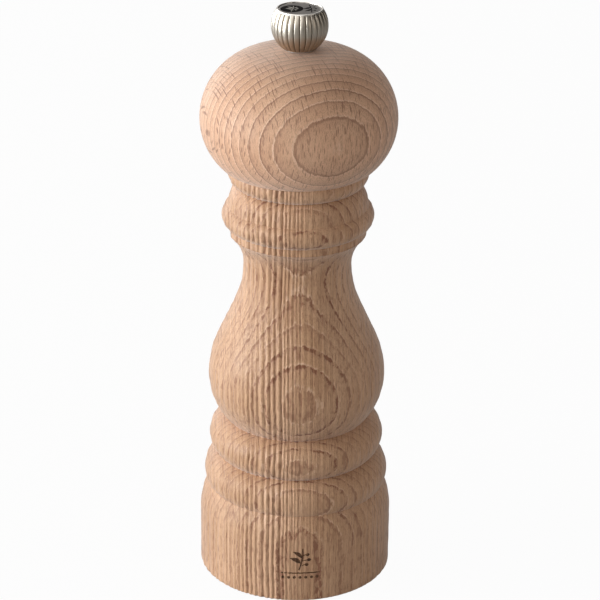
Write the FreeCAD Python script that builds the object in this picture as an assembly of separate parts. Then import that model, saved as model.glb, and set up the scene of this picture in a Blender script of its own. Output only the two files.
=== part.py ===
"""A turned beech pepper mill, 180 mm tall, with a fluted metal knob and a steel burr mechanism.

Frame: millimetres, +Z up, origin at the centre of the face the mill stands on. -Y is the front.

The wooden body is a tube. Whole peppercorns fill its bore, round a square shaft. Turning the head turns
the shaft through the drive plate, and the shaft turns the burr cone inside the burr ring at the foot.
The knob screws onto the top of the shaft. Tightening it draws the cone up into the ring against the
pressure spring, which grinds finer. With the knob off, the head lifts off the shaft for filling.
"""
import FreeCAD
import Part
import math
import os

V = FreeCAD.Vector
Z = V(0, 0, 1)

# ---------------------------------------------------------------- driving sizes, in millimetres
# wooden body: heights from the foot upward
base_radius = 29.6
base_edge_round = 0.8
base_wall_height = 18.7          # straight side, up to the start of the rounded shoulder
low_groove_height = 27.95
mid_groove_height = 38.65
top_groove_height = 50.7
belly_height = 64.3              # where the belly is widest
body_height = 131.3

# wooden body: steps inward from the base radius
low_groove_inset = 2.45
mid_groove_inset = 5.55
top_groove_inset = 7.9
belly_inset = 2.65
low_ring_bulge = 2.5             # how far each turned ring stands out from the chord of its two grooves
high_ring_bulge = 3.8
belly_share = 0.42               # radii of the ogee's two arcs, as shares of the sum that would leave
neck_share = 0.47                # no straight stretch between them

# wooden body: neck and collar, heights below the top of the body, steps outward from the neck radius
bore_radius = 12.5
neck_wall = 3.8
neck_below_top = 30.7
neck_flare_radius = 13.6         # hollow curve from the neck up to the fillet
fillet_low_below_top = 20.8
fillet_high_below_top = 18.55
fillet_step = 4.15
bead_top_below_top = 11.7
bead_top_step = 4.9
bead_bulge = 2.05
quirk_below_top = 9.45           # upper edge of the narrow band above the bead
quirk_step = 4.5
top_bead_groove_below_top = 5.2
top_bead_groove_step = 1.7
cove_bulge = 0.45
top_rim_step = 4.5
top_bead_bulge = 1.4

# wooden head
joint_gap = 0.4                  # between the top of the body and the head
head_overhang = 1.35             # of the head's lower edge beyond the rim of the body
head_radius = 29.3
bulb_height = 15.1               # from the head's lower face up to its widest place
dome_height = 21.2               # from the widest place up to the crown
crown_rise = 0.75                # of the flat crown arc above the top of the side arc
spigot_length = 11.0
spigot_step = 1.5                # counterbore of the body beyond its bore
spigot_clearance = 0.3
spigot_end_gap = 0.6
shaft_hole_clearance = 0.27      # round the corners of the square shaft
crown_hole_clearance = 0.45      # round the shaft's thread
crown_hole_depth = 4.0
washer_seat_depth = 0.35         # of the flat for the knob washer, below the crown

# square shaft
shaft_across = 5.0               # across flats
shaft_chamfer = 0.25
journal_radius = 2.0
journal_stand = 0.4              # of the journal's end below the retaining bridge
journal_clearance = 0.05
thread_radius = 2.45
thread_depth = 0.4
thread_pitch = 0.8
thread_length = 14.0
thread_end_gap = 0.5             # above the shaft at its highest setting
thread_plain_length = 1.0        # at each end of the thread
thread_top_chamfer = 0.3
runout_share = 1.3               # foot of the cone that joins square and thread, as a share of the half width
journal_chamfer = 0.4
setting_travel = 0.8             # of the shaft, each way from the middle setting

# burr set
shoulder_width = 2.5             # least wooden ledge between the bore and the burr ring's seat
ring_wall = 2.6                  # least wall of the burr ring outside its teeth
ring_height = 14.0
seat_clearance = 0.1
foot_clearance = 0.5             # under the lowest screw heads
plate_overlap = 6.0              # of the ring plate beyond the burr ring
plate_thickness = 1.2
plate_clearance = 0.3
opening_margin = 0.3             # of the ring plate's opening beyond the teeth
grind_gap = 0.55                 # between tooth tips at the middle setting
cone_bottom_radius = 11.0
cone_waist_radius = 9.7
cone_top_margin = 2.3            # of the cone's top beyond the spring's coil
fine_stage_height = 6.0
coarse_stage_height = 8.6
cone_above_plate = 0.4
fine_teeth = 32
ring_fine_teeth = 36
fine_tooth_depth = 0.65
fine_twist = 14.0                # degrees over the stage
coarse_cone_teeth = 6
coarse_ring_teeth = 9
coarse_cone_depth = 1.9
coarse_ring_depth = 1.7
coarse_twist = 52.0
tooth_lean = 0.7                 # where in each tooth's pitch its tip stands
fine_steps = 2                   # sections of a twisted stage
coarse_cone_steps = 5
coarse_ring_steps = 4
ring_mouth_flare = 0.9           # widening of the ring's coarse stage towards its mouth
square_clearance = 0.05
cone_recess_radius = 5.6
cone_recess_depth = 2.0
cone_washer_radius = 5.0
cone_washer_thickness = 0.6
clip_thickness = 0.6
clip_width = 1.5
clip_mouth_share = 1.7           # width of the clip's mouth, as a share of its inner radius
clip_groove_depth = 0.5
clip_slack = 0.03

# spring and its bridge
bridge_hole_margin = 1.7         # of the strap each side of the shaft's hole
bridge_foot_thickness = 1.0
bridge_rise = 13.0               # from the feet to the top of the strap
bridge_wall_gap = 0.4            # between the bridge's legs and the bore
spring_wire_radius = 0.5
spring_shaft_gap = 0.85          # between the wire and the corners of the shaft
spring_turns = 5
spring_washer_margin = 0.8       # of the washer beyond the spring
spring_washer_thickness = 0.8
face_gap = 0.05                  # between flat faces that slide on each other

# retaining bridge under the cone
retainer_width = 9.0
retainer_thickness = 1.2
retainer_end_margin = 0.6        # from its rounded ends to the edge of the ring plate

# drive plate in the head
drive_plate_margin = 2.6         # between the plate and the side of the spigot
drive_plate_thickness = 1.5
drive_clearance = 0.1
drive_screw_gap = 1.6            # between the square hole's corners and the screw heads

# wood screws
screw_crest_radius = 1.25
screw_root_radius = 0.9
screw_pitch = 1.0
screw_neck_length = 1.2          # plain length under a pan head
screw_tip_length = 2.2
screw_hole_spare = 0.5           # of the hole beyond the screw's tip
screw_hole_clearance = 0.04
screw_head_radius = 2.3
pan_head_height = 1.1
pan_edge_height = 0.4            # straight rim of the pan head
pan_flat_share = 0.8             # radius of its flat, as a share of the head's
plate_screw_length = 10.0
retainer_screw_length = 12.0
drive_screw_length = 10.0
screw_circle_margin = 3.0        # from the burr ring's side out to the screws
plate_screw_count = 3
slot_width = 0.55
slot_depth = 0.5
slot_first_angle = 35.0
slot_angle_step = 70.0           # from one screw to the next, as they come to rest when driven

# knob
knob_radius = 8.4
knob_foot_radius = 5.15
knob_neck_height = 0.1           # short straight foot under the ball
flute_count = 28                 # an even number
flute_radius = 0.5
flute_centre_offset = 0.15       # of the flute's centre beyond the ball
flute_end_margin = 0.35          # of plain ball left above and below the flutes
bezel_radius = 6.85
bezel_width = 0.55
bezel_height = 1.4
bezel_stand = 0.3                # of the bezel above the ball's flat top
disc_thickness = 0.8
disc_crown = 0.15
disc_below_bezel = 0.15
insert_wall = 1.4                # round the thread
insert_clearance = 0.02
insert_end_wall = 0.9
insert_disc_gap = 0.4            # between the insert and the disc
thread_clearance = 0.06
knob_washer_radius = 4.3
knob_washer_thickness = 0.6
knob_washer_play = 0.15

# cutters
past = 1.0                       # how far a cutter runs beyond the face that it opens

# ---------------------------------------------------------------- sizes worked out from those above
low_groove_radius = base_radius - low_groove_inset
mid_groove_radius = base_radius - mid_groove_inset
top_groove_radius = base_radius - top_groove_inset
belly_radius = base_radius - belly_inset
neck_radius = bore_radius + neck_wall
neck_height = body_height - neck_below_top
rim_radius = neck_radius + top_rim_step

spigot_bore_radius = bore_radius + spigot_step
spigot_radius = spigot_bore_radius - spigot_clearance
head_base = body_height + joint_gap
spigot_bottom = head_base - spigot_length
spigot_bore_bottom = spigot_bottom - spigot_end_gap
head_widest = head_base + bulb_height
crown = head_widest + dome_height
washer_seat = crown - washer_seat_depth

teeth_radius = cone_bottom_radius + grind_gap + fine_tooth_depth
ring_radius = max(bore_radius + shoulder_width, teeth_radius + ring_wall)
foot_recess_depth = foot_clearance + pan_head_height + retainer_thickness + plate_thickness
ring_bottom = foot_recess_depth
ring_top = ring_bottom + ring_height
seat_top = ring_top + bridge_foot_thickness
plate_radius = ring_radius + plate_overlap
plate_bottom = foot_recess_depth - plate_thickness
retainer_bottom = plate_bottom - retainer_thickness
screw_circle = ring_radius + screw_circle_margin
screw_hole_radius = screw_crest_radius + screw_hole_clearance

cone_bottom = ring_bottom + cone_above_plate
cone_waist = cone_bottom + fine_stage_height
cone_top = cone_waist + coarse_stage_height
square_start = cone_bottom + cone_recess_depth
journal_end = retainer_bottom - journal_stand
clip_top = square_start - cone_washer_thickness - clip_slack

knob_foot = washer_seat + knob_washer_thickness + face_gap
ball_centre = knob_foot + knob_neck_height + math.sqrt(knob_radius ** 2 - knob_foot_radius ** 2)
ball_top = ball_centre + math.sqrt(knob_radius ** 2 - bezel_radius ** 2)
bezel_top = ball_top + bezel_stand
bezel_bottom = bezel_top - bezel_height
disc_radius = bezel_radius - bezel_width
disc_bottom = bezel_top - disc_below_bezel - disc_crown - disc_thickness
insert_top = disc_bottom - insert_disc_gap
insert_radius = thread_radius + thread_clearance + insert_wall
thread_hole_end = insert_top - insert_end_wall

shaft_corner_radius = math.hypot(shaft_across / 2, shaft_across / 2 - shaft_chamfer)
shaft_hole_radius = shaft_corner_radius + shaft_hole_clearance
shaft_top = thread_hole_end - thread_end_gap - setting_travel
thread_start = shaft_top - thread_length
crown_hole_radius = thread_radius + crown_hole_clearance
drive_hole_across = shaft_across + 2 * drive_clearance
drive_screw_circle = drive_hole_across / math.sqrt(2) + drive_screw_gap + screw_head_radius

strap_bottom = ring_top + bridge_rise
spring_washer_top = strap_bottom - face_gap
spring_top = spring_washer_top - spring_washer_thickness - face_gap
spring_bottom = cone_top + face_gap
spring_coil_radius = shaft_corner_radius + spring_shaft_gap + spring_wire_radius
spring_washer_radius = spring_coil_radius + spring_wire_radius + spring_washer_margin
cone_top_radius = spring_coil_radius + cone_top_margin


# ---------------------------------------------------------------- helpers
def on_plane(r, z):
    """A point of an outline, radius and height, in the XZ plane."""
    return V(r, 0, z)


def line(a, b):
    """A straight stretch of outline between two (radius, height) points."""
    return Part.makeLine(on_plane(*a), on_plane(*b))


def bulged(a, b, bulge):
    """An arc of outline from a to b that stands out by bulge at its middle, outward if bulge is positive."""
    chord = math.hypot(b[0] - a[0], b[1] - a[1])
    middle_r = (a[0] + b[0]) / 2 + bulge * (b[1] - a[1]) / chord
    middle_z = (a[1] + b[1]) / 2 - bulge * (b[0] - a[0]) / chord
    return Part.Arc(on_plane(*a), on_plane(middle_r, middle_z), on_plane(*b)).toShape()


def swung(centre, radius, start, end):
    """An arc of outline round a centre, between two angles in radians from the outward direction."""
    def at(angle):
        return on_plane(centre[0] + radius * math.cos(angle), centre[1] + radius * math.sin(angle))
    return Part.Arc(at(start), at((start + end) / 2), at(end)).toShape()


def spun(edges):
    """The solid that a closed outline sweeps round the Z axis."""
    face = Part.Face(Part.Wire(Part.__sortEdges__(edges)))
    return face.revolve(V(0, 0, 0), Z, 360)


def outlined(points):
    """The solid of revolution of a closed outline of straight stretches."""
    closed = list(points) + [points[0]]
    return spun([line(a, b) for a, b in zip(closed, closed[1:])])


def cylinder(radius, bottom, top, x=0.0, y=0.0):
    """An upright cylinder."""
    return Part.makeCylinder(radius, top - bottom, V(x, y, bottom), Z)


def square_bar(across, bottom, top):
    """An upright square bar on the Z axis, flats along X and Y."""
    half = across / 2
    return Part.makeBox(across, across, top - bottom, V(-half, -half, bottom))


def around(count, first=0.0):
    """Equally spaced angles in degrees."""
    return [first + 360.0 * i / count for i in range(count)]


def turned(shape, degrees):
    """A copy turned about the Z axis."""
    copy = shape.copy()
    copy.rotate(V(0, 0, 0), Z, degrees)
    return copy


def at_circle(radius, degrees):
    """X and Y of a point on a circle round the Z axis."""
    return radius * math.cos(math.radians(degrees)), radius * math.sin(math.radians(degrees))


def save(name, shape):
    """Writes one named piece."""
    shape.exportStep("parts/" + name + ".step")


# ---------------------------------------------------------------- wooden body
def ogee(widest, narrowest):
    """An arc, a straight stretch and a hollow arc that run smoothly from a widest point up to a narrowest
    one, both with upright ends. The straight stretch touches both circles."""
    drop = widest[0] - narrowest[0]
    rise = narrowest[1] - widest[1]
    largest_sum = (drop ** 2 + rise ** 2) / (2 * drop)
    lower = belly_share * largest_sum
    upper = neck_share * largest_sum
    centre_low = (widest[0] - lower, widest[1])
    centre_high = (narrowest[0] + upper, narrowest[1])
    apart = math.hypot(centre_high[0] - centre_low[0], rise)
    angle = math.atan2(rise, centre_high[0] - centre_low[0]) - math.acos((lower + upper) / apart)
    leaves = (centre_low[0] + lower * math.cos(angle), centre_low[1] + lower * math.sin(angle))
    meets = (centre_high[0] - upper * math.cos(angle), centre_high[1] - upper * math.sin(angle))
    return [
        swung(centre_low, lower, 0, angle),
        line(leaves, meets),
        swung(centre_high, upper, math.pi + angle, math.pi),
    ]


def body_outline():
    """The outside of the body, from the foot's edge up to the rim."""
    low = (low_groove_radius, low_groove_height)
    mid = (mid_groove_radius, mid_groove_height)
    top = (top_groove_radius, top_groove_height)
    belly = (belly_radius, belly_height)
    neck = (neck_radius, neck_height)
    shoulder_rise = low_groove_height - base_wall_height
    shoulder = (low_groove_inset ** 2 + shoulder_rise ** 2) / (2 * low_groove_inset)
    belly_rise = belly_height - top_groove_height
    belly_under = (belly_radius - top_groove_radius) ** 2 + belly_rise ** 2
    belly_under = belly_under / (2 * (belly_radius - top_groove_radius))
    fillet_low = (neck_radius + fillet_step, body_height - fillet_low_below_top)
    fillet_high = (neck_radius + fillet_step, body_height - fillet_high_below_top)
    bead_top = (neck_radius + bead_top_step, body_height - bead_top_below_top)
    quirk = (neck_radius + quirk_step, body_height - quirk_below_top)
    groove = (neck_radius + top_bead_groove_step, body_height - top_bead_groove_below_top)
    rim = (rim_radius, body_height)
    flare_centre = (neck_radius + neck_flare_radius, neck_height)
    flare_rise = fillet_low[1] - neck_height
    flare = min(1.0, flare_rise / neck_flare_radius)
    flare_end = (neck_radius + neck_flare_radius * (1 - math.sqrt(1 - flare ** 2)), fillet_low[1])
    edges = [
        swung((base_radius - base_edge_round, base_edge_round), base_edge_round, -math.pi / 2, 0),
        line((base_radius, base_edge_round), (base_radius, base_wall_height)),
        swung((base_radius - shoulder, base_wall_height), shoulder, 0, math.asin(shoulder_rise / shoulder)),
        bulged(low, mid, low_ring_bulge),
        bulged(mid, top, high_ring_bulge),
        swung((belly[0] - belly_under, belly[1]), belly_under, -math.asin(belly_rise / belly_under), 0),
    ]
    edges += ogee(belly, neck)
    edges += [
        swung(flare_centre, neck_flare_radius, math.pi, math.pi - math.asin(flare)),
        line(flare_end, fillet_low),
        line(fillet_low, fillet_high),
        bulged(fillet_high, bead_top, bead_bulge),
        line(bead_top, quirk),
        bulged(quirk, groove, cove_bulge),
        bulged(groove, rim, top_bead_bulge),
    ]
    return edges


def screw_places():
    """Angles of the ring plate's screws and of the retaining bridge's two screws."""
    return around(plate_screw_count, 90.0), [0.0, 180.0]


def make_body():
    """The turned beech tube, with the mechanism's seat below and the spigot's counterbore above."""
    foot_edge = (base_radius - base_edge_round, 0)
    recess_radius = plate_radius + plate_clearance
    seat_radius = ring_radius + seat_clearance
    inside = [
        (rim_radius, body_height),
        (spigot_bore_radius, body_height),
        (spigot_bore_radius, spigot_bore_bottom),
        (bore_radius, spigot_bore_bottom),
        (bore_radius, seat_top),
        (seat_radius, seat_top),
        (seat_radius, foot_recess_depth),
        (recess_radius, foot_recess_depth),
        (recess_radius, 0),
        foot_edge,
    ]
    edges = body_outline() + [line(a, b) for a, b in zip(inside, inside[1:])]
    body = spun(edges)
    plate_angles, retainer_angles = screw_places()
    holes = []
    for angles, length, seat in ((plate_angles, plate_screw_length, plate_bottom),
                                 (retainer_angles, retainer_screw_length, retainer_bottom)):
        for angle in angles:
            x, y = at_circle(screw_circle, angle)
            hole_end = seat + length + screw_hole_spare
            holes.append(cylinder(screw_hole_radius, foot_recess_depth - past, hole_end, x, y))
    return body.cut(holes)


# ---------------------------------------------------------------- wooden head
def make_head():
    """The turned beech head: a bulb with a flat crown, and a spigot that turns in the body."""
    lower_edge = rim_radius + head_overhang
    swell = head_radius - lower_edge
    bulb_radius = (swell ** 2 + bulb_height ** 2) / (2 * swell)
    bulb_start = -math.asin(bulb_height / bulb_radius)
    side_radius = dome_height - crown_rise
    side_centre = head_radius - side_radius
    crown_radius = (side_centre ** 2 + dome_height ** 2 - side_radius ** 2) / (2 * crown_rise)
    meet = math.asin(side_centre / (crown_radius - side_radius))
    recess_radius = spigot_radius - drive_plate_margin + drive_clearance
    recess_top = spigot_bottom + drive_plate_thickness + drive_clearance
    crown_edge = (0, crown)
    edges = [
        line((0, spigot_bottom), (spigot_radius, spigot_bottom)),
        line((spigot_radius, spigot_bottom), (spigot_radius, head_base)),
        line((spigot_radius, head_base), (lower_edge, head_base)),
        swung((head_radius - bulb_radius, head_widest), bulb_radius, bulb_start, 0),
        swung((side_centre, head_widest), side_radius, 0, math.pi / 2 - meet),
        swung((0, crown - crown_radius), crown_radius, math.pi / 2 - meet, math.pi / 2),
        line(crown_edge, (0, spigot_bottom)),
    ]
    head = spun(edges)
    cuts = [
        cylinder(recess_radius, spigot_bottom - past, recess_top),
        cylinder(shaft_hole_radius, spigot_bottom - past, washer_seat - crown_hole_depth),
        cylinder(crown_hole_radius, washer_seat - crown_hole_depth - past, crown + past),
        cylinder(knob_washer_radius + knob_washer_play, washer_seat, crown + past),
    ]
    for angle in (0.0, 180.0):
        x, y = at_circle(drive_screw_circle, angle)
        hole_end = spigot_bottom + drive_screw_length + screw_hole_spare
        cuts.append(cylinder(screw_hole_radius, spigot_bottom, hole_end, x, y))
    return head.cut(cuts)


def make_drive_plate():
    """The round steel plate under the spigot, whose square hole turns the shaft."""
    radius = spigot_radius - drive_plate_margin
    top = spigot_bottom + drive_plate_thickness
    plate = cylinder(radius, spigot_bottom, top)
    cuts = [square_bar(drive_hole_across, spigot_bottom - past, top + past)]
    for angle in (0.0, 180.0):
        x, y = at_circle(drive_screw_circle, angle)
        cuts.append(cylinder(screw_hole_radius, spigot_bottom - past, top + past, x, y))
    return plate.cut(cuts)


# ---------------------------------------------------------------- fasteners
def wood_screw(length, seat, head_height, sunk):
    """A wood screw that points up, on the Z axis. seat is the height of the face that its head bears on.
    A sunk head is a cone that ends flush at the seat, and any other is a low pan below it."""
    tip = seat + length
    plain = head_height if sunk else screw_neck_length
    thread_from = seat + plain
    turns = int((length - screw_tip_length - plain) / screw_pitch)
    z = tip - screw_tip_length
    points = [(0, tip), (screw_root_radius, z)]
    for _ in range(turns):
        points.append((screw_crest_radius, z - screw_pitch / 2))
        points.append((screw_root_radius, z - screw_pitch))
        z -= screw_pitch
    if sunk:
        points += [(screw_root_radius, thread_from), (screw_head_radius, seat), (0, seat)]
        bottom = seat
    else:
        bottom = seat - head_height
        points += [(screw_root_radius, seat), (screw_head_radius, seat)]
        points += [(screw_head_radius, seat - pan_edge_height)]
        points += [(screw_head_radius * pan_flat_share, bottom), (0, bottom)]
    screw = outlined(points)
    reach = screw_head_radius + past
    slot = Part.makeBox(2 * reach, slot_width, slot_depth + past)
    slot.translate(V(-reach, -slot_width / 2, bottom - past))
    return screw.cut(slot)


def screw_group(angles, circle, length, seat, head_height, sunk):
    """Equal screws on a circle, with their slots left at different angles."""
    screws = []
    for number, angle in enumerate(angles):
        slot_angle = slot_first_angle + slot_angle_step * number
        screw = turned(wood_screw(length, seat, head_height, sunk), slot_angle)
        x, y = at_circle(circle, angle)
        screw.translate(V(x, y, 0))
        screws.append(screw)
    return Part.makeCompound(screws)


# ---------------------------------------------------------------- burr set
def star(z, tips, roots, teeth, twist):
    """A closed saw-tooth ring at height z."""
    pitch = 2 * math.pi / teeth
    corners = []
    for i in range(teeth):
        start = math.radians(twist) + i * pitch
        corners.append(V(roots * math.cos(start), roots * math.sin(start), z))
        peak = start + tooth_lean * pitch
        corners.append(V(tips * math.cos(peak), tips * math.sin(peak), z))
    return Part.makePolygon(corners + [corners[0]])


def toothed(bottom, top, tips, roots, teeth, twist, steps):
    """A twisted stage with saw teeth. tips and roots are (bottom, top) radii."""
    rings = []
    for i in range(steps + 1):
        t = i / steps
        z = bottom + (top - bottom) * t
        tip = tips[0] + (tips[1] - tips[0]) * t
        root = roots[0] + (roots[1] - roots[0]) * t
        rings.append(star(z, tip, root, teeth, twist * t))
    return Part.makeLoft(rings, True, True)


def cone_radius_at(z):
    """The cone's tip radius at a height, in its fine stage and beyond its ends."""
    slope = (cone_waist_radius - cone_bottom_radius) / fine_stage_height
    return cone_bottom_radius + slope * (z - cone_bottom)


def make_cone():
    """The burr cone: coarse spiral teeth that crack the corns, over fine teeth that grind them."""
    fine = toothed(
        cone_bottom, cone_waist,
        (cone_bottom_radius, cone_waist_radius),
        (cone_bottom_radius - fine_tooth_depth, cone_waist_radius - fine_tooth_depth),
        fine_teeth, fine_twist, fine_steps)
    coarse = toothed(
        cone_waist, cone_top,
        (cone_waist_radius, cone_top_radius),
        (cone_waist_radius - coarse_cone_depth, cone_top_radius - coarse_cone_depth),
        coarse_cone_teeth, coarse_twist, coarse_cone_steps)
    cone = fine.fuse(coarse)
    hole = square_bar(shaft_across + 2 * square_clearance, cone_bottom - past, cone_top + past)
    recess = cylinder(cone_recess_radius, cone_bottom - past, square_start)
    return cone.cut([hole, recess])


def make_ring():
    """The fixed burr ring, toothed inside, seated in the foot of the body."""
    outer = cylinder(ring_radius, ring_bottom, ring_top)
    low = ring_bottom - past
    high = cone_waist
    tips = (cone_radius_at(low) + grind_gap, cone_radius_at(high) + grind_gap)
    fine = toothed(
        low, high,
        (tips[0] + fine_tooth_depth, tips[1] + fine_tooth_depth), tips,
        ring_fine_teeth, -fine_twist, fine_steps)
    mouth = tips[1] + ring_mouth_flare
    coarse = toothed(
        high, ring_top + past,
        (tips[1] + coarse_ring_depth, mouth + coarse_ring_depth), (tips[1], mouth),
        coarse_ring_teeth, -coarse_twist / 2, coarse_ring_steps)
    return outer.cut(fine).cut(coarse)


def make_ring_plate():
    """The stamped plate screwed under the body, which holds the burr ring up in its seat."""
    plate = cylinder(plate_radius, plate_bottom, foot_recess_depth)
    opening = cone_radius_at(ring_bottom) + grind_gap + fine_tooth_depth + opening_margin
    plate_angles, retainer_angles = screw_places()
    low = plate_bottom - past
    high = foot_recess_depth + past
    cuts = [cylinder(opening, low, high)]
    sink = screw_hole_clearance
    for angle in plate_angles:
        x, y = at_circle(screw_circle, angle)
        seat = Part.makeCone(screw_head_radius + sink, screw_root_radius + sink, plate_thickness,
                             V(x, y, plate_bottom), Z)
        cuts.append(seat.fuse(cylinder(screw_hole_radius, plate_bottom, high, x, y)))
    for angle in retainer_angles:
        x, y = at_circle(screw_circle, angle)
        cuts.append(cylinder(screw_hole_radius, low, high, x, y))
    return plate.cut(cuts)


def make_retainer():
    """The flat strap across the foot, whose centre hole carries the journal of the shaft."""
    reach = plate_radius - retainer_end_margin
    blank = cylinder(reach, retainer_bottom, plate_bottom)
    strip = Part.makeBox(2 * reach, retainer_width, retainer_thickness)
    strip.translate(V(-reach, -retainer_width / 2, retainer_bottom))
    strap = blank.common(strip)
    cuts = [cylinder(journal_radius + journal_clearance, retainer_bottom - past, plate_bottom + past)]
    for angle in screw_places()[1]:
        x, y = at_circle(screw_circle, angle)
        cuts.append(cylinder(screw_hole_radius, retainer_bottom - past, plate_bottom + past, x, y))
    return strap.cut(cuts)


def make_spring_bridge():
    """The bent strap over the burr ring. Its feet are trapped between the ring and the wooden ledge."""
    leg = bore_radius - bridge_wall_gap
    thick = bridge_foot_thickness
    half = shaft_hole_radius + bridge_hole_margin
    top = strap_bottom + thick
    side = [
        (ring_radius, ring_top), (leg - thick, ring_top), (leg - thick, strap_bottom),
        (-(leg - thick), strap_bottom), (-(leg - thick), ring_top), (-ring_radius, ring_top),
        (-ring_radius, ring_top + thick), (-leg, ring_top + thick), (-leg, top),
        (leg, top), (leg, ring_top + thick), (ring_radius, ring_top + thick),
    ]
    corners = [V(x, -half, z) for x, z in side]
    face = Part.Face(Part.makePolygon(corners + [corners[0]]))
    strap = face.extrude(V(0, 2 * half, 0))
    strap = strap.common(cylinder(ring_radius, ring_top, ring_top + thick).fuse(
        cylinder(leg, ring_top + thick, top + past)))
    return strap.cut(cylinder(shaft_hole_radius, strap_bottom - past, top + past))


# ---------------------------------------------------------------- spring
def make_spring_washer():
    """The washer between the spring bridge and the spring. It turns with the spring."""
    bottom = spring_washer_top - spring_washer_thickness
    washer = cylinder(spring_washer_radius, bottom, spring_washer_top)
    return washer.cut(cylinder(shaft_hole_radius, bottom - past, spring_washer_top + past))


def make_spring():
    """The coil spring that presses the cone down, away from the ring."""
    low = spring_bottom + spring_wire_radius
    high = spring_top - spring_wire_radius
    coil = Part.makeHelix((high - low) / spring_turns, high - low, spring_coil_radius)
    coil.translate(V(0, 0, low))
    section = Part.makeCircle(spring_wire_radius, V(spring_coil_radius, 0, low), V(0, 1, 0))
    return Part.Wire(coil.Edges).makePipeShell([Part.Wire([section])], True, True)


# ---------------------------------------------------------------- shaft
def make_shaft():
    """The square shaft, with a round journal below and the knob's thread above."""
    half = shaft_across / 2
    bar = square_bar(shaft_across, square_start, thread_start)
    upright = [e for e in bar.Edges if abs(e.tangentAt(e.FirstParameter).z) > 0.9]
    bar = bar.makeChamfer(shaft_chamfer, upright)
    groove_radius = journal_radius - clip_groove_depth
    groove_low = clip_top - clip_thickness - clip_slack
    groove_high = clip_top + clip_slack
    journal = outlined([
        (0, journal_end), (journal_radius - journal_chamfer, journal_end),
        (journal_radius, journal_end + journal_chamfer),
        (journal_radius, groove_low), (groove_radius, groove_low), (groove_radius, groove_high),
        (journal_radius, groove_high), (journal_radius, square_start + past), (0, square_start + past),
    ])
    root = thread_radius - thread_depth
    z = thread_start + thread_plain_length
    points = [(0, thread_start - past), (root, thread_start - past), (root, z)]
    turns = int((thread_length - 2 * thread_plain_length) / thread_pitch)
    for _ in range(turns):
        points.append((thread_radius, z + thread_pitch / 2))
        points.append((root, z + thread_pitch))
        z += thread_pitch
    points += [(root, shaft_top - thread_top_chamfer), (root - thread_top_chamfer, shaft_top), (0, shaft_top)]
    thread = outlined(points)
    runout = Part.makeCone(half * runout_share, root, thread_plain_length, V(0, 0, thread_start), Z)
    runout = runout.common(square_bar(shaft_across, thread_start, thread_start + thread_plain_length))
    return bar.fuse([journal, thread, runout])


def make_cone_washer():
    """The washer under the cone, between it and the clip."""
    bottom = square_start - cone_washer_thickness
    washer = cylinder(cone_washer_radius, bottom, square_start)
    return washer.cut(cylinder(journal_radius + journal_clearance, bottom - past, square_start + past))


def make_clip():
    """The open retaining clip in the groove of the journal."""
    bottom = clip_top - clip_thickness
    inner = journal_radius - clip_groove_depth + clip_slack
    outer = inner + clip_width
    clip = cylinder(outer, bottom, clip_top).cut(cylinder(inner, bottom - past, clip_top + past))
    width = clip_mouth_share * inner
    mouth = Part.makeBox(outer + past, width, clip_thickness + 2 * past, V(0, -width / 2, bottom - past))
    return clip.cut(mouth)


# ---------------------------------------------------------------- knob
def make_knob_shell():
    """The fluted ball of the knob, hollow for its insert, its bezel and its disc."""
    foot_angle = math.asin((ball_centre - knob_foot - knob_neck_height) / knob_radius)
    top_angle = math.asin((ball_top - ball_centre) / knob_radius)
    seat_radius = bezel_radius - bezel_width
    edges = [
        line((0, knob_foot), (knob_foot_radius, knob_foot)),
        line((knob_foot_radius, knob_foot), (knob_foot_radius, knob_foot + knob_neck_height)),
        swung((0, ball_centre), knob_radius, -foot_angle, top_angle),
        line((bezel_radius, ball_top), (0, ball_top)),
        line((0, ball_top), (0, knob_foot)),
    ]
    ball = spun(edges)
    flute = Part.makeTorus(knob_radius + flute_centre_offset, flute_radius, V(0, 0, ball_centre), V(0, 1, 0))
    flute_bottom = knob_foot + knob_neck_height + flute_end_margin
    keep = cylinder(2 * knob_radius, flute_bottom, ball_top - flute_end_margin)
    flute = flute.common(keep)
    flutes = [turned(flute, 360.0 * i / flute_count) for i in range(flute_count // 2)]
    ball = ball.cut(flutes)
    cuts = [
        cylinder(insert_radius + insert_clearance, knob_foot - past, insert_top + insert_clearance),
        cylinder(seat_radius, disc_bottom, ball_top + past),
        cylinder(bezel_radius, bezel_bottom, ball_top + past),
    ]
    return ball.cut(cuts)


def make_insert():
    """The threaded insert in the knob. Its blind hole takes the top of the shaft."""
    insert = cylinder(insert_radius, knob_foot, insert_top)
    return insert.cut(cylinder(thread_radius + thread_clearance, knob_foot - past, thread_hole_end))


def make_bezel():
    """The bright rounded ring round the disc."""
    inner = bezel_radius - bezel_width
    half = bezel_width / 2
    top = bezel_top - half
    return spun([
        line((inner, bezel_bottom), (bezel_radius, bezel_bottom)),
        line((bezel_radius, bezel_bottom), (bezel_radius, top)),
        swung((inner + half, top), half, 0, math.pi),
        line((inner, top), (inner, bezel_bottom)),
    ])


def make_disc():
    """The slightly domed disc in the top of the knob."""
    edge = disc_bottom + disc_thickness
    dome = (disc_radius ** 2 + disc_crown ** 2) / (2 * disc_crown)
    return spun([
        line((0, disc_bottom), (disc_radius, disc_bottom)),
        line((disc_radius, disc_bottom), (disc_radius, edge)),
        swung((0, edge + disc_crown - dome), dome, math.acos(disc_radius / dome), math.pi / 2),
        line((0, edge + disc_crown), (0, disc_bottom)),
    ])


def make_knob_washer():
    """The washer that the knob turns on, in its seat on the crown."""
    top = washer_seat + knob_washer_thickness
    washer = cylinder(knob_washer_radius, washer_seat, top)
    return washer.cut(cylinder(thread_radius + 2 * thread_clearance, washer_seat - past, top + past))


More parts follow.
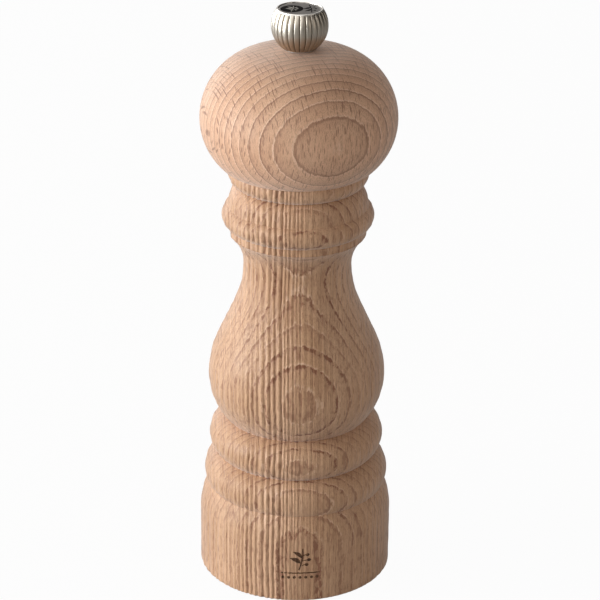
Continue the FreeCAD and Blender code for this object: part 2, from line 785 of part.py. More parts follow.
# ---------------------------------------------------------------- write the pieces
def main():
    """Builds every piece and writes each to its own file."""
    os.makedirs("parts", exist_ok=True)
    plate_angles, retainer_angles = screw_places()
    save("wooden_body", make_body())
    save("burr_ring", make_ring())
    save("ring_plate", make_ring_plate())
    save("ring_plate_screws",
         screw_group(plate_angles, screw_circle, plate_screw_length, plate_bottom, plate_thickness, True))
    save("retaining_bridge", make_retainer())
    save("retaining_bridge_screws",
         screw_group(retainer_angles, screw_circle, retainer_screw_length, retainer_bottom,
                     pan_head_height, False))
    save("spring_bridge", make_spring_bridge())
    save("spring_washer", make_spring_washer())
    save("pressure_spring", make_spring())
    save("drive_shaft", make_shaft())
    save("burr_cone", make_cone())
    save("cone_washer", make_cone_washer())
    save("cone_clip", make_clip())
    save("wooden_head", make_head())
    save("drive_plate", make_drive_plate())
    save("drive_plate_screws",
         screw_group([0.0, 180.0], drive_screw_circle, drive_screw_length, spigot_bottom,
                     pan_head_height, False))
    save("knob_washer", make_knob_washer())
    save("knob_shell", make_knob_shell())
    save("knob_insert", make_insert())
    save("knob_bezel", make_bezel())
    save("knob_disc", make_disc())


main()
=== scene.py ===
"""A turned beech pepper mill with a fluted metal knob, dressed round its fixed frame.

The wooden body and head are turned again, the body with the raised grain of worn beech. The knob gets its
reeds, bezel and printed disc, and the burr mechanism inside gets its metals. The pieces are worked out in
millimetres and become metres in their meshes, and the studio is in metres.
"""
import logging
import math
from collections.abc import Callable
from dataclasses import dataclass, field
from enum import Enum

import bpy
import numpy as np
from mathutils import Euler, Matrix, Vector


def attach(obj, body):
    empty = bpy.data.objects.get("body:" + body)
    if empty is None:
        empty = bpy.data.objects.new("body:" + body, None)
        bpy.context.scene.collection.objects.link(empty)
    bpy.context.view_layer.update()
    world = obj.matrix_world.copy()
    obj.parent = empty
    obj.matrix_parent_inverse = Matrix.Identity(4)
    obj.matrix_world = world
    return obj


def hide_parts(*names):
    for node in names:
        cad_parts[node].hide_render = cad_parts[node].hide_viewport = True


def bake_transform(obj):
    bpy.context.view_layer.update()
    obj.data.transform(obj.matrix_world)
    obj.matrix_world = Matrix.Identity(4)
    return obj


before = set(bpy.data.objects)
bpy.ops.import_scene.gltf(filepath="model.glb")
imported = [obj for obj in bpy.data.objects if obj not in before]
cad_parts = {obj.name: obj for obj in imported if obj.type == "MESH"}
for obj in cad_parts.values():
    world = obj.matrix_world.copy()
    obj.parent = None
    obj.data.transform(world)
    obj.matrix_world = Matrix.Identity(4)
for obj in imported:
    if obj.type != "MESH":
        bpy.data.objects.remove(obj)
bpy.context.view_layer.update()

log = logging.getLogger("pepper_mill")

MM = 0.001
ON_AXIS = 1e-6
Point = tuple[float, float]
Point3 = tuple[float, float, float]
Colour = tuple[float, float, float, float]
Placer = Callable[[float, float, float], Point3]


# ------------------------------------------------------------------ outlines and turned meshes
class Outline:
    """An outline of (radius, height) points in millimetres, with some corners marked as crisp."""

    def __init__(self, start: Point, longest: float = 2.0, turn: float = 6.0) -> None:
        """Starts the outline.

        Args:
            start: The first point.
            longest: The longest step between two points.
            turn: The most that an arc turns between two points, in degrees.
        """
        self.points: list[Point] = [start]
        self.crisp: set[int] = set()
        self.longest = longest
        self.turn = math.radians(turn)

    def corner(self) -> "Outline":
        """Marks the last point as a crisp edge and returns the outline."""
        self.crisp.add(len(self.points) - 1)
        return self

    def line_to(self, end: Point, longest: float | None = None) -> "Outline":
        """Adds a straight stretch.

        Args:
            end: Where it ends.
            longest: The longest step, if not the outline's own.

        Returns:
            The outline.
        """
        start = self.points[-1]
        length = math.dist(start, end)
        steps = max(1, math.ceil(length / (longest or self.longest)))
        for i in range(1, steps + 1):
            t = i / steps
            self.points.append((start[0] + (end[0] - start[0]) * t, start[1] + (end[1] - start[1]) * t))
        return self

    def swing(self, centre: Point, radius: float, start: float, end: float) -> "Outline":
        """Adds an arc that leaves from the last point.

        Args:
            centre: The arc's centre.
            radius: The arc's radius.
            start: The angle of the last point, in radians from the outward direction.
            end: The angle where the arc ends.

        Returns:
            The outline.
        """
        swept = abs(end - start)
        steps = max(2, math.ceil(swept / self.turn), math.ceil(swept * radius / self.longest))
        for i in range(1, steps + 1):
            angle = start + (end - start) * i / steps
            self.points.append((centre[0] + radius * math.cos(angle), centre[1] + radius * math.sin(angle)))
        return self

    def bulge_to(self, end: Point, bulge: float) -> "Outline":
        """Adds an arc that stands out from its chord.

        Args:
            end: Where the arc ends.
            bulge: How far its middle stands out, outward if positive.

        Returns:
            The outline.
        """
        start = self.points[-1]
        chord = math.dist(start, end)
        radius = (chord * chord / 4 + bulge * bulge) / (2 * bulge)
        along = ((end[0] - start[0]) / chord, (end[1] - start[1]) / chord)
        middle = ((start[0] + end[0]) / 2, (start[1] + end[1]) / 2)
        back = radius - bulge
        centre = (middle[0] - along[1] * back, middle[1] + along[0] * back)
        first = math.atan2(start[1] - centre[1], start[0] - centre[0])
        last = math.atan2(end[1] - centre[1], end[0] - centre[0])
        if bulge < 0:
            first = first % (2 * math.pi)
            last = last % (2 * math.pi)
            return self.swing(centre, -abs(radius), first - math.pi, last - math.pi)
        return self.swing(centre, radius, first, last)


def mesh_object(name: str, points: np.ndarray, faces: list[tuple[int, ...]],
                crisp: set[tuple[int, int]] | None = None, smooth: bool = True) -> bpy.types.Object:
    """Makes a mesh object from points and faces.

    Args:
        name: The piece's name.
        points: An array of points, in metres.
        faces: The corner numbers of each face.
        crisp: Pairs of point numbers whose edge stays sharp.
        smooth: Whether the faces are shaded smooth.

    Returns:
        The new object, linked into the scene.
    """
    mesh = bpy.data.meshes.new(name)
    mesh.from_pydata(points.tolist(), [], faces)
    mesh.polygons.foreach_set("use_smooth", np.full(len(mesh.polygons), smooth))
    if crisp:
        ends = np.zeros(len(mesh.edges) * 2, dtype=np.int32)
        mesh.edges.foreach_get("vertices", ends)
        weight = 1 << 32
        keys = np.sort(ends.reshape(-1, 2), axis=1).astype(np.int64) @ np.array([weight, 1])
        wanted = np.array(sorted(min(a, b) * weight + max(a, b) for a, b in crisp))
        mark = mesh.attributes.new("sharp_edge", "BOOLEAN", "EDGE")
        mark.data.foreach_set("value", np.isin(keys, wanted))
    mesh.validate()
    piece = bpy.data.objects.new(name, mesh)
    bpy.context.scene.collection.objects.link(piece)
    return piece


def spin(name: str, outline: Outline, segments: int, closed: bool = True,
         cut: Callable[[np.ndarray, np.ndarray, float, int], np.ndarray] | None = None,
         crowding: float = 0.0) -> bpy.types.Object:
    """Turns an outline about the Z axis.

    Args:
        name: The piece's name.
        outline: The outline to turn.
        segments: How many steps go round.
        closed: Whether the outline's last point joins its first.
        cut: Gives the radius from the plain radius, the angles, the height and the row's number.
        crowding: How much closer the steps lie at the front and back than at the sides, from 0 to 1.

    Returns:
        The turned piece.
    """
    angles = np.linspace(0.0, 2 * math.pi, segments, endpoint=False)
    angles = angles - 0.5 * crowding * np.sin(2 * angles) - math.pi / 2
    rows: list[np.ndarray] = []
    starts: list[int] = []
    count = 0
    for number, (radius, height) in enumerate(outline.points):
        if radius < ON_AXIS:
            row = np.array([[0.0, 0.0, height]])
        else:
            radii = np.full(segments, radius)
            if cut is not None:
                radii = cut(radii, angles, height, number)
            heights = np.full(segments, height)
            row = np.stack([radii * np.cos(angles), radii * np.sin(angles), heights], axis=1)
        starts.append(count)
        rows.append(row)
        count += len(row)
    faces: list[tuple[int, ...]] = []
    crisp: set[tuple[int, int]] = set()
    pairs = [(number, number + 1) for number in range(len(rows) - 1)]
    if closed:
        pairs.append((len(rows) - 1, 0))
    for low, high in pairs:
        a, b = starts[low], starts[high]
        if len(rows[low]) == 1 and len(rows[high]) == 1:
            continue
        for i in range(segments):
            j = (i + 1) % segments
            if len(rows[low]) == 1:
                faces.append((a, b + j, b + i))
            elif len(rows[high]) == 1:
                faces.append((a + i, a + j, b))
            else:
                faces.append((a + i, a + j, b + j, b + i))
    for number in outline.crisp:
        if len(rows[number]) > 1:
            a = starts[number]
            crisp.update((a + i, a + (i + 1) % segments) for i in range(segments))
    return mesh_object(name, np.concatenate(rows) * MM, faces, crisp)


def tube(name: str, path: np.ndarray, radius: float, sides: int = 16) -> bpy.types.Object:
    """Makes a round wire along a path, with closed ends.

    Args:
        name: The piece's name.
        path: The wire's centre line, in millimetres.
        radius: The wire's radius, in millimetres.
        sides: How many points go round the wire.

    Returns:
        The wire.
    """
    ahead = np.gradient(path, axis=0)
    ahead /= np.linalg.norm(ahead, axis=1, keepdims=True)
    side = np.cross(ahead, np.array([0.0, 0.0, 1.0]))
    side /= np.linalg.norm(side, axis=1, keepdims=True)
    up = np.cross(side, ahead)
    turn = np.linspace(0.0, 2 * math.pi, sides, endpoint=False)
    rings = path[:, None, :] + radius * (side[:, None, :] * np.cos(turn)[None, :, None]
                                         + up[:, None, :] * np.sin(turn)[None, :, None])
    points = rings.reshape(-1, 3)
    faces: list[tuple[int, ...]] = []
    for i in range(len(path) - 1):
        for j in range(sides):
            k = (j + 1) % sides
            faces.append((i * sides + j, i * sides + k, (i + 1) * sides + k, (i + 1) * sides + j))
    last = (len(path) - 1) * sides
    faces.append(tuple(range(sides - 1, -1, -1)))
    faces.append(tuple(range(last, last + sides)))
    rims = {(start + j, start + (j + 1) % sides) for start in (0, last) for j in range(sides)}
    return mesh_object(name, points * MM, faces, rims)


# ------------------------------------------------------------------ signs drawn with a few strokes
class StrokeForm(Enum):
    """How wide a stroke is along its length."""

    LINE = "line"
    LEAF = "leaf"
    BERRY = "berry"


@dataclass(frozen=True)
class Stroke:
    """One stroke of a printed or burnt sign, on the flat, in millimetres."""

    points: tuple[Point, ...]
    width: float
    form: StrokeForm = StrokeForm.LINE
    leaf_tip: float = 0.06
    leaf_lean: float = 0.85
    berry_tip: float = 0.02

    def samples(self, step: float) -> tuple[np.ndarray, np.ndarray]:
        """Points along the stroke and the width at each.

        Args:
            step: The distance between samples, in millimetres.

        Returns:
            An array of points and an array of widths.
        """
        corners = np.array(self.points, dtype=float)
        along = np.concatenate([[0.0], np.cumsum(np.linalg.norm(np.diff(corners, axis=0), axis=1))])
        count = max(4, int(along[-1] / step) + 1)
        t = np.linspace(0.0, 1.0, count)
        where = np.stack([np.interp(t * along[-1], along, corners[:, k]) for k in (0, 1)], axis=1)
        if self.form is StrokeForm.LEAF:
            swell = np.sin(np.pi * t ** self.leaf_lean)
            widths = self.width * (self.leaf_tip + (1.0 - self.leaf_tip) * swell)
        elif self.form is StrokeForm.BERRY:
            widths = self.width * np.sqrt(np.clip(1.0 - (2 * t - 1) ** 2, self.berry_tip, 1.0))
        else:
            widths = np.full(count, self.width)
        return where, widths


def sprig(size: float) -> list[Stroke]:
    """A plain pepper sprig: a bent stem, two leaves and three berries.

    Args:
        size: The sprig's height in millimetres.

    Returns:
        The strokes of the sprig, centred on the origin.
    """
    def at(*places: Point) -> tuple[Point, ...]:
        """The given places, scaled to the sprig's size."""
        return tuple((x * size, y * size) for x, y in places)

    bend = [(0.16 * math.sin(1.9 * t) - 0.05, t - 0.5) for t in (0.0, 0.2, 0.4, 0.6, 0.8, 1.0)]
    strokes = [
        Stroke(at(*bend), 0.07 * size),
        Stroke(at((0.02, -0.18), (-0.16, -0.02), (-0.42, 0.06)), 0.24 * size, StrokeForm.LEAF),
        Stroke(at((0.08, 0.06), (-0.06, 0.24), (-0.30, 0.36)), 0.20 * size, StrokeForm.LEAF),
    ]
    half = 0.085
    for x, y in ((0.30, 0.22), (0.36, -0.02), (0.26, -0.24)):
        strokes.append(Stroke(at((x - half, y), (x + half, y)), 2 * half * size, StrokeForm.BERRY))
        strokes.append(Stroke(at((x - half, y), (0.07, y - 0.06)), 0.045 * size))
    return strokes


def placed_sprig(size: float, middle: Point, stretch: Point, width_share: float) -> list[Stroke]:
    """A sprig moved to its place on a piece.

    Args:
        size: The plain sprig's height in millimetres.
        middle: Where its middle goes.
        stretch: How much it is stretched across and up, with a negative number to mirror it.
        width_share: How wide its strokes are, as a share of the plain sprig's.

    Returns:
        The strokes of the sprig.
    """
    return [Stroke(tuple((stretch[0] * x + middle[0], stretch[1] * y + middle[1]) for x, y in stroke.points),
                   stroke.width * width_share, stroke.form) for stroke in sprig(size)]


def laid_strokes(name: str, strokes: list[Stroke], place: Placer, thickness: float,
                 step: float = 0.12) -> bpy.types.Object:
    """Lays strokes on a surface as thin closed strips.

    Args:
        name: The piece's name.
        strokes: The strokes, on the flat.
        place: Gives the point at (across, up, lift), in millimetres.
        thickness: How far the strips stand off the surface, in millimetres.
        step: The distance between samples, in millimetres.

    Returns:
        One piece that holds all the strips.
    """
    points: list[Point3] = []
    faces: list[tuple[int, ...]] = []
    lanes = (-0.5, 0.0, 0.5)
    ring = 2 * len(lanes)
    for stroke in strokes:
        where, widths = stroke.samples(step)
        ahead = np.gradient(where, axis=0)
        ahead /= np.linalg.norm(ahead, axis=1, keepdims=True)
        across = np.stack([-ahead[:, 1], ahead[:, 0]], axis=1)
        first = len(points)
        for spot, side, width in zip(where, across, widths):
            for lift in (thickness, -thickness / 2):
                for lane in lanes:
                    offset = width * lane
                    points.append(place(spot[0] + side[0] * offset, spot[1] + side[1] * offset, lift))
        for i in range(len(where) - 1):
            a, b = first + ring * i, first + ring * (i + 1)
            for lane in (0, 1):
                faces.append((a + lane + 1, a + lane, b + lane, b + lane + 1))
                faces.append((a + 3 + lane, a + 4 + lane, b + 4 + lane, b + 3 + lane))
            faces.append((a, a + 3, b + 3, b))
            faces.append((a + 5, a + 2, b + 2, b + 5))
        end = first + ring * (len(where) - 1)
        faces.append((first, first + 1, first + 2, first + 5, first + 4, first + 3))
        faces.append((end + 3, end + 4, end + 5, end + 2, end + 1, end))
    return mesh_object(name, np.array(points) * MM, faces, smooth=False)


# ------------------------------------------------------------------ raised grain of the worn body
@dataclass(frozen=True)
class RaisedGrain:
    """The ridges that worn grain leaves on the body, and the painted shade in their valleys. They stand in
    upright planes that run front to back.
    """

    seed: int = 7
    reach_mm: float = 34.0
    left_spacing_mm: float = 1.4
    right_spacing_mm: float = 1.75
    depth_mm: float = 0.62
    deep_middle_mm: float = -10.5
    deep_width_mm: float = 8.0
    side_middle_mm: float = -23.5
    side_width_mm: float = 4.5
    quiet_share: float = 0.24
    side_share: float = 0.55
    wander_mm: float = 0.20
    uneven_spacing: tuple[float, float] = (0.62, 1.38)
    strengths: tuple[float, float] = (0.35, 1.0)
    wander_waves: tuple[float, float, float] = (0.085, 0.23, 0.9)
    break_waves: tuple[float, float] = (0.31, 1.3)
    valley_power: float = 1.5
    crown_share: float = 0.25
    break_share: float = 0.30
    valley_shade_gain: float = 1.4

    def valleys(self) -> np.ndarray:
        """Spaces the valleys out, closer on the left than on the right.

        Returns:
            The places of the valleys along X, in millimetres.
        """
        random = np.random.default_rng(self.seed)
        places = [-self.reach_mm]
        while places[-1] < self.reach_mm:
            spacing = self.left_spacing_mm if places[-1] < 0 else self.right_spacing_mm
            places.append(places[-1] + spacing * random.uniform(*self.uneven_spacing))
        return np.array(places)

    def relief(self, x: np.ndarray, y: np.ndarray, z: float) -> tuple[np.ndarray, np.ndarray]:
        """How deep the surface is worn, and how much painted shade each place gets from lying in a valley.

        Args:
            x: Places across, in millimetres.
            y: Places front to back, in millimetres.
            z: The height, in millimetres.

        Returns:
            The depth in millimetres and the share of painted valley shade from 0 to 1.
        """
        places = self.valleys()
        random = np.random.default_rng(self.seed + 1)
        strength = random.uniform(*self.strengths, len(places))
        sway = random.uniform(0.0, 2 * math.pi, len(places))
        nearest = np.clip(np.searchsorted(places, x), 1, len(places) - 1)
        slow, middle, quick = self.wander_waves
        wander = self.wander_mm * (np.sin(slow * z) + 0.5 * np.sin(middle * z + 0.05 * y)
                                   + 0.35 * np.sin(quick * z + sway[nearest]))
        moved = x + wander
        index = np.clip(np.searchsorted(places, moved), 1, len(places) - 1)
        low, high = places[index - 1], places[index]
        t = np.clip((moved - low) / (high - low), 0.0, 1.0)
        from_low, from_high = (moved - low), (high - moved)
        edge = np.where(from_low < from_high, from_low, from_high)
        which = np.where(from_low < from_high, index - 1, index)
        reach = 0.5 * (high - low)
        rise = np.clip(edge / reach, 0.0, 1.0)
        valley = (1.0 - rise) ** self.valley_power * strength[which]
        crown = self.crown_share * (1.0 - np.sin(np.pi * t))
        deep = np.exp(-((x - self.deep_middle_mm) / self.deep_width_mm) ** 2)
        side = self.side_share * np.exp(-((x - self.side_middle_mm) / self.side_width_mm) ** 2)
        long, short = self.break_waves
        swell = np.sin(long * z + 2.1 * sway[which]) * np.cos(short * z + 0.2 * y + 3.0 * sway[which])
        breaks = 1.0 - self.break_share + self.break_share * swell
        share = np.clip(self.quiet_share + deep + side, 0.0, 1.0) * breaks
        depth = self.depth_mm * share * (valley + crown)
        # painted shade: the second value darkens the wood in the deeper valleys
        return depth, np.clip(valley * valley * share * self.valley_shade_gain, 0.0, 1.0)


# ------------------------------------------------------------------ shader building blocks
class NodeBench:
    """Adds nodes to a shader tree and joins them."""

    def __init__(self, tree: bpy.types.NodeTree) -> None:
        """Takes the tree to work on."""
        self.tree = tree

    def add(self, kind: str, settings: dict[str, object] | None = None, **inputs: object) -> bpy.types.Node:
        """Adds a node.

        Args:
            kind: The node's type name.
            settings: Properties to set on the node itself.
            **inputs: Values or sockets for its inputs, with _ for a space in a socket's name.

        Returns:
            The new node.
        """
        node = self.tree.nodes.new(kind)
        for key, value in (settings or {}).items():
            setattr(node, key, value)
        for key, value in inputs.items():
            self.feed(node.inputs[key.replace("_", " ")], value)
        return node

    def feed(self, socket: bpy.types.NodeSocket, value: object) -> None:
        """Links a socket into an input, or sets the input to a plain value.

        Args:
            socket: The input.
            value: An output socket, or a number or tuple.
        """
        if isinstance(value, bpy.types.NodeSocket):
            self.tree.links.new(value, socket)
        else:
            socket.default_value = value

    def sum(self, operation: str, first: object, second: object = 0.0, third: object = 0.0,
            clamp: bool = False) -> bpy.types.NodeSocket:
        """Works one sum on numbers.

        Args:
            operation: The Math node's operation.
            first: The first number or socket.
            second: The second number or socket.
            third: The third number or socket, where the operation has one.
            clamp: Whether the result is kept from 0 to 1.

        Returns:
            The result's socket.
        """
        node = self.tree.nodes.new("ShaderNodeMath")
        node.operation = operation
        node.use_clamp = clamp
        for socket, value in zip(node.inputs, (first, second, third)):
            self.feed(socket, value)
        return node.outputs[0]

    def span(self, value: object, low: float, high: float, start: object = 0.0, end: object = 1.0,
             smooth: bool = True) -> bpy.types.NodeSocket:
        """Maps a range of a value onto another range.

        Args:
            value: The value's socket.
            low: The value that gives start.
            high: The value that gives end.
            start: The first result.
            end: The last result.
            smooth: Whether the change eases in and out.

        Returns:
            The result's socket.
        """
        node = self.tree.nodes.new("ShaderNodeMapRange")
        node.interpolation_type = "SMOOTHSTEP" if smooth else "LINEAR"
        given = {"Value": value, "From Min": low, "From Max": high, "To Min": start, "To Max": end}
        for name, part in given.items():
            self.feed(node.inputs[name], part)
        return node.outputs["Result"]

    def blend(self, share: object, first: object, second: object, mode: str = "MIX") -> bpy.types.NodeSocket:
        """Mixes two colours.

        Args:
            share: How much of the second colour, from 0 to 1.
            first: The first colour.
            second: The second colour.
            mode: The blend type.

        Returns:
            The mixed colour's socket.
        """
        node = self.tree.nodes.new("ShaderNodeMix")
        node.data_type = "RGBA"
        node.blend_type = mode
        colours = [socket for socket in node.inputs if socket.type == "RGBA"]
        self.feed(node.inputs["Factor"], share)
        self.feed(colours[0], first)
        self.feed(colours[1], second)
        return [socket for socket in node.outputs if socket.type == "RGBA"][0]

    def stretched(self, place: object, scale: Point3) -> bpy.types.NodeSocket:
        """Scales a place along X, Y and Z.

        Args:
            place: The place's socket.
            scale: The three scales.

        Returns:
            The scaled place's socket.
        """
        node = self.tree.nodes.new("ShaderNodeVectorMath")
        node.operation = "MULTIPLY"
        self.feed(node.inputs[0], place)
        node.inputs[1].default_value = scale
        return node.outputs[0]

    def noise(self, place: object, scale: Point3, detail: float = 2.0,
              roughness: float = 0.5) -> bpy.types.NodeSocket:
        """Noise at a place.

        Args:
            place: The place's socket.
            scale: How closely the noise repeats along X, Y and Z.
            detail: The number of finer layers.
            roughness: The weight of the finer layers.

        Returns:
            The noise value's socket, around one half.
        """
        node = self.add("ShaderNodeTexNoise", None, Vector=self.stretched(place, scale), Scale=1.0,
                        Detail=detail, Roughness=roughness)
        return node.outputs[0]

    def around(self, value: object) -> bpy.types.NodeSocket:
        """How far a value lies above one half."""
        return self.sum("SUBTRACT", value, 0.5)

    def place_mm(self) -> bpy.types.NodeSocket:
        """The place on the piece, in millimetres of the piece's own frame."""
        where = self.tree.nodes.new("ShaderNodeTexCoord")
        return self.stretched(where.outputs["Object"], (1 / MM, 1 / MM, 1 / MM))


class EffectGroup:
    """A shader effect that several materials use, built once as a node group."""

    name = "effect"
    inputs: tuple[tuple[str, str, object], ...] = ()
    outputs: tuple[tuple[str, str], ...] = ()

    def tree(self) -> bpy.types.NodeTree:
        """Finds the group's tree, or builds it on its first use.

        Returns:
            The tree.
        """
        if self.name in bpy.data.node_groups:
            return bpy.data.node_groups[self.name]
        tree = bpy.data.node_groups.new(self.name, "ShaderNodeTree")
        for label, kind, value in self.inputs:
            socket = tree.interface.new_socket(label, in_out="INPUT", socket_type=kind)
            socket.default_value = value
        for label, kind in self.outputs:
            tree.interface.new_socket(label, in_out="OUTPUT", socket_type=kind)
        bench = NodeBench(tree)
        self.wire(bench, bench.add("NodeGroupInput"), bench.add("NodeGroupOutput"))
        return tree

    def wire(self, bench: NodeBench, given: bpy.types.Node, result: bpy.types.Node) -> None:
        """Builds the inside of the group.

        Args:
            bench: The bench of the group's tree.
            given: The group's input node.
            result: The group's output node.
        """
        raise NotImplementedError

    def use(self, bench: NodeBench, **values: object) -> bpy.types.Node:
        """Places the group in a material.

        Args:
            bench: The bench of the material's tree.
            **values: Values for its inputs, with _ for a space.

        Returns:
            The group node.
        """
        return bench.add("ShaderNodeGroup", {"node_tree": self.tree()}, **values)


class BeechGrain(EffectGroup):
    """Beech: growth rings as nearly flat upright surfaces, short dark rays, fibres and brown blotches.

    The first constants say how closely each pattern repeats along X, Y and Z, in turns per millimetre.
    """

    slow_waver = (0.05, 0.05, 0.014)
    quick_waver = (0.55, 0.3, 0.06)
    stairs = (0.75, 0.3, 0.05)
    ragged_edge = (2.6, 1.2, 0.9)
    line_gaps = (0.80, 0.35, 0.45)
    ray_cells = (2.4, 0.075, 0.27)
    fibres = (3.4, 3.4, 0.22)
    fine_fibres = (6.0, 6.0, 1.3)
    tones = (0.07, 0.07, 0.02)
    blotches = (0.42, 0.25, 0.22)
    ridges = (1.0, 0.03, 0.006)
    slow_size_mm = 5.0
    quick_size_mm = 0.7
    ragged_size_mm = 0.45
    line_start = 0.90
    line_edge = 0.05
    middle_reach_mm = (7.0, 20.0)

    name = "beech_grain"
    inputs = (
        ("Ring Turn", "NodeSocketFloat", 0.0),
        ("Ring Spacing", "NodeSocketFloat", 2.4),
        ("Ring Start", "NodeSocketFloat", 29.0),
        ("Ring Bow", "NodeSocketFloat", 90.0),
        ("Waver", "NodeSocketFloat", 0.6),
        ("Step", "NodeSocketFloat", 0.3),
        ("Line Strength", "NodeSocketFloat", 0.8),
        ("Line Break", "NodeSocketFloat", 0.5),
        ("Line Width", "NodeSocketFloat", 0.05),
        ("Band", "NodeSocketFloat", 0.2),
        ("Side Strength", "NodeSocketFloat", 1.0),
        ("Ray Strength", "NodeSocketFloat", 0.5),
        ("Ray Share", "NodeSocketFloat", 0.5),
        ("Blotch Strength", "NodeSocketFloat", 0.4),
        ("Fibre Strength", "NodeSocketFloat", 0.4),
        ("Ridge Strength", "NodeSocketFloat", 0.0),
        ("Light Wood", "NodeSocketColor", (0.6, 0.38, 0.26, 1.0)),
        ("Warm Wood", "NodeSocketColor", (0.5, 0.3, 0.2, 1.0)),
        ("Late Wood", "NodeSocketColor", (0.25, 0.12, 0.06, 1.0)),
        ("Pale Wood", "NodeSocketColor", (0.7, 0.46, 0.32, 1.0)),
    )
    outputs = (("Colour", "NodeSocketColor"), ("Roughness", "NodeSocketFloat"), ("Height", "NodeSocketFloat"))

    def wire(self, bench: NodeBench, given: bpy.types.Node, result: bpy.types.Node) -> None:
        """Builds the wood from its rings, rays, fibres and blotches.

        Args:
            bench: The bench of the group's tree.
            given: The group's input node.
            result: The group's output node.
        """
        turned = bench.add("ShaderNodeVectorRotate", {"rotation_type": "Z_AXIS"}, Vector=bench.place_mm(),
                           Angle=given.outputs["Ring Turn"])
        place = turned.outputs[0]
        late = given.outputs["Late Wood"]
        line, pale, shade = self.rings(bench, given, place)
        ray = self.rays(bench, given, place)
        fibre = bench.noise(place, self.fibres, 3.0, 0.62)
        fine = bench.noise(place, self.fine_fibres, 3.0, 0.65)
        tone = bench.noise(place, self.tones, 3.0, 0.55)
        blotch = bench.span(bench.noise(place, self.blotches, 3.0, 0.6), 0.60, 0.70)
        blotch = bench.sum("MULTIPLY", blotch, given.outputs["Blotch Strength"])
        ridge = bench.sum("ABSOLUTE", bench.around(bench.noise(place, self.ridges, 2.0, 0.5)))
        ridge = bench.sum("MULTIPLY", bench.span(ridge, 0.0, 0.10), given.outputs["Ridge Strength"])
        groove = bench.sum("SUBTRACT", given.outputs["Ridge Strength"], ridge)

        strength = given.outputs["Fibre Strength"]
        shares = (
            bench.sum("MULTIPLY", bench.span(fibre, 0.44, 0.68), strength, clamp=True),
            bench.sum("MULTIPLY", bench.span(fine, 0.50, 0.68), strength, clamp=True),
            # painted shade: the narrow grooves between the fine bump ridges are darkened towards the late
            # wood
            bench.sum("MULTIPLY", groove, 0.28, clamp=True),
            bench.sum("ADD", shade, bench.sum("MULTIPLY", blotch, 0.45), clamp=True),
        )
        warmth = bench.span(tone, 0.3, 0.7)
        wood = bench.blend(warmth, given.outputs["Light Wood"], given.outputs["Warm Wood"])
        for share in shares:
            wood = bench.blend(share, wood, late)
        wood = bench.blend(pale, wood, given.outputs["Pale Wood"])
        wood = bench.blend(line, wood, late)
        bench.feed(result.inputs["Colour"], bench.blend(ray, wood, late))
        matt = bench.sum("MULTIPLY_ADD", fibre, 0.16, 0.46)
        bench.feed(result.inputs["Roughness"], bench.sum("MULTIPLY_ADD", line, 0.10, matt))
        height = bench.sum("MULTIPLY_ADD", fibre, 0.5, bench.sum("MULTIPLY", fine, 0.35))
        height = bench.sum("SUBTRACT", height, bench.sum("MULTIPLY", line, 0.5))
        height = bench.sum("MULTIPLY_ADD", ridge, 1.2, height)
        bench.feed(result.inputs["Height"], bench.sum("SUBTRACT", height, bench.sum("MULTIPLY", ray, 0.5)))

    def rings(self, bench: NodeBench, given: bpy.types.Node,
              place: object) -> tuple[bpy.types.NodeSocket, bpy.types.NodeSocket, bpy.types.NodeSocket]:
        """Builds the growth rings.

        Args:
            bench: The bench of the group's tree.
            given: The group's input node.
            place: The place's socket.

        Returns:
            The shares of the dark line, of the pale wood after it and of the slow darkening before it.
        """
        parts = bench.add("ShaderNodeSeparateXYZ", None, Vector=place)
        across, deep = parts.outputs[0], parts.outputs[1]
        slow = bench.around(bench.noise(place, self.slow_waver))
        quick = bench.around(bench.noise(place, self.quick_waver))
        stair = bench.around(bench.noise(place, self.stairs, 1.0))
        ragged = bench.around(bench.noise(place, self.ragged_edge))
        waver = bench.sum("MULTIPLY_ADD", slow, self.slow_size_mm,
                          bench.sum("MULTIPLY", quick, self.quick_size_mm))
        waver = bench.sum("MULTIPLY", waver, given.outputs["Waver"])
        waver = bench.sum("MULTIPLY_ADD", stair, given.outputs["Step"], waver)
        waver = bench.sum("MULTIPLY_ADD", ragged, self.ragged_size_mm, waver)
        bow = bench.sum("DIVIDE", bench.sum("MULTIPLY", across, across), given.outputs["Ring Bow"])
        depth = bench.sum("ADD", bench.sum("ADD", deep, given.outputs["Ring Start"]),
                          bench.sum("ADD", bow, waver))
        rings = bench.sum("DIVIDE", depth, given.outputs["Ring Spacing"])
        within = bench.sum("FRACT", rings)
        begin = bench.sum("SUBTRACT", self.line_start, given.outputs["Line Width"])
        before = bench.sum("SUBTRACT", begin, self.line_edge)
        after = bench.sum("ADD", begin, self.line_edge)
        dark = bench.sum("MULTIPLY", bench.span(within, before, after),
                         bench.span(within, 0.95, 1.0, 1.0, 0.0))
        each = bench.add("ShaderNodeTexWhiteNoise", {"noise_dimensions": "1D"}, W=bench.sum("FLOOR", rings))
        broken = bench.span(bench.noise(place, self.line_gaps, 2.0, 0.6), 0.45, 0.54)
        whole = bench.sum("SUBTRACT", 1.0, given.outputs["Line Break"])
        weight = bench.sum("MULTIPLY", bench.span(each.outputs["Value"], 0.0, 1.0, 0.5, 1.0),
                           bench.sum("MULTIPLY_ADD", broken, given.outputs["Line Break"], whole))
        weight = bench.sum("MULTIPLY", weight, given.outputs["Line Strength"])
        aside = bench.span(bench.sum("ABSOLUTE", across), *self.middle_reach_mm, 1.0,
                           given.outputs["Side Strength"])
        weight = bench.sum("MULTIPLY", weight, aside)
        line = bench.sum("MULTIPLY", dark, weight, clamp=True)
        pale = bench.sum("MULTIPLY", bench.span(within, 0.02, 0.14, 1.0, 0.0), weight, clamp=True)
        soft = bench.sum("MULTIPLY", bench.span(within, 0.2, 0.95), given.outputs["Band"])
        return line, pale, bench.sum("MULTIPLY", soft, given.outputs["Line Strength"])

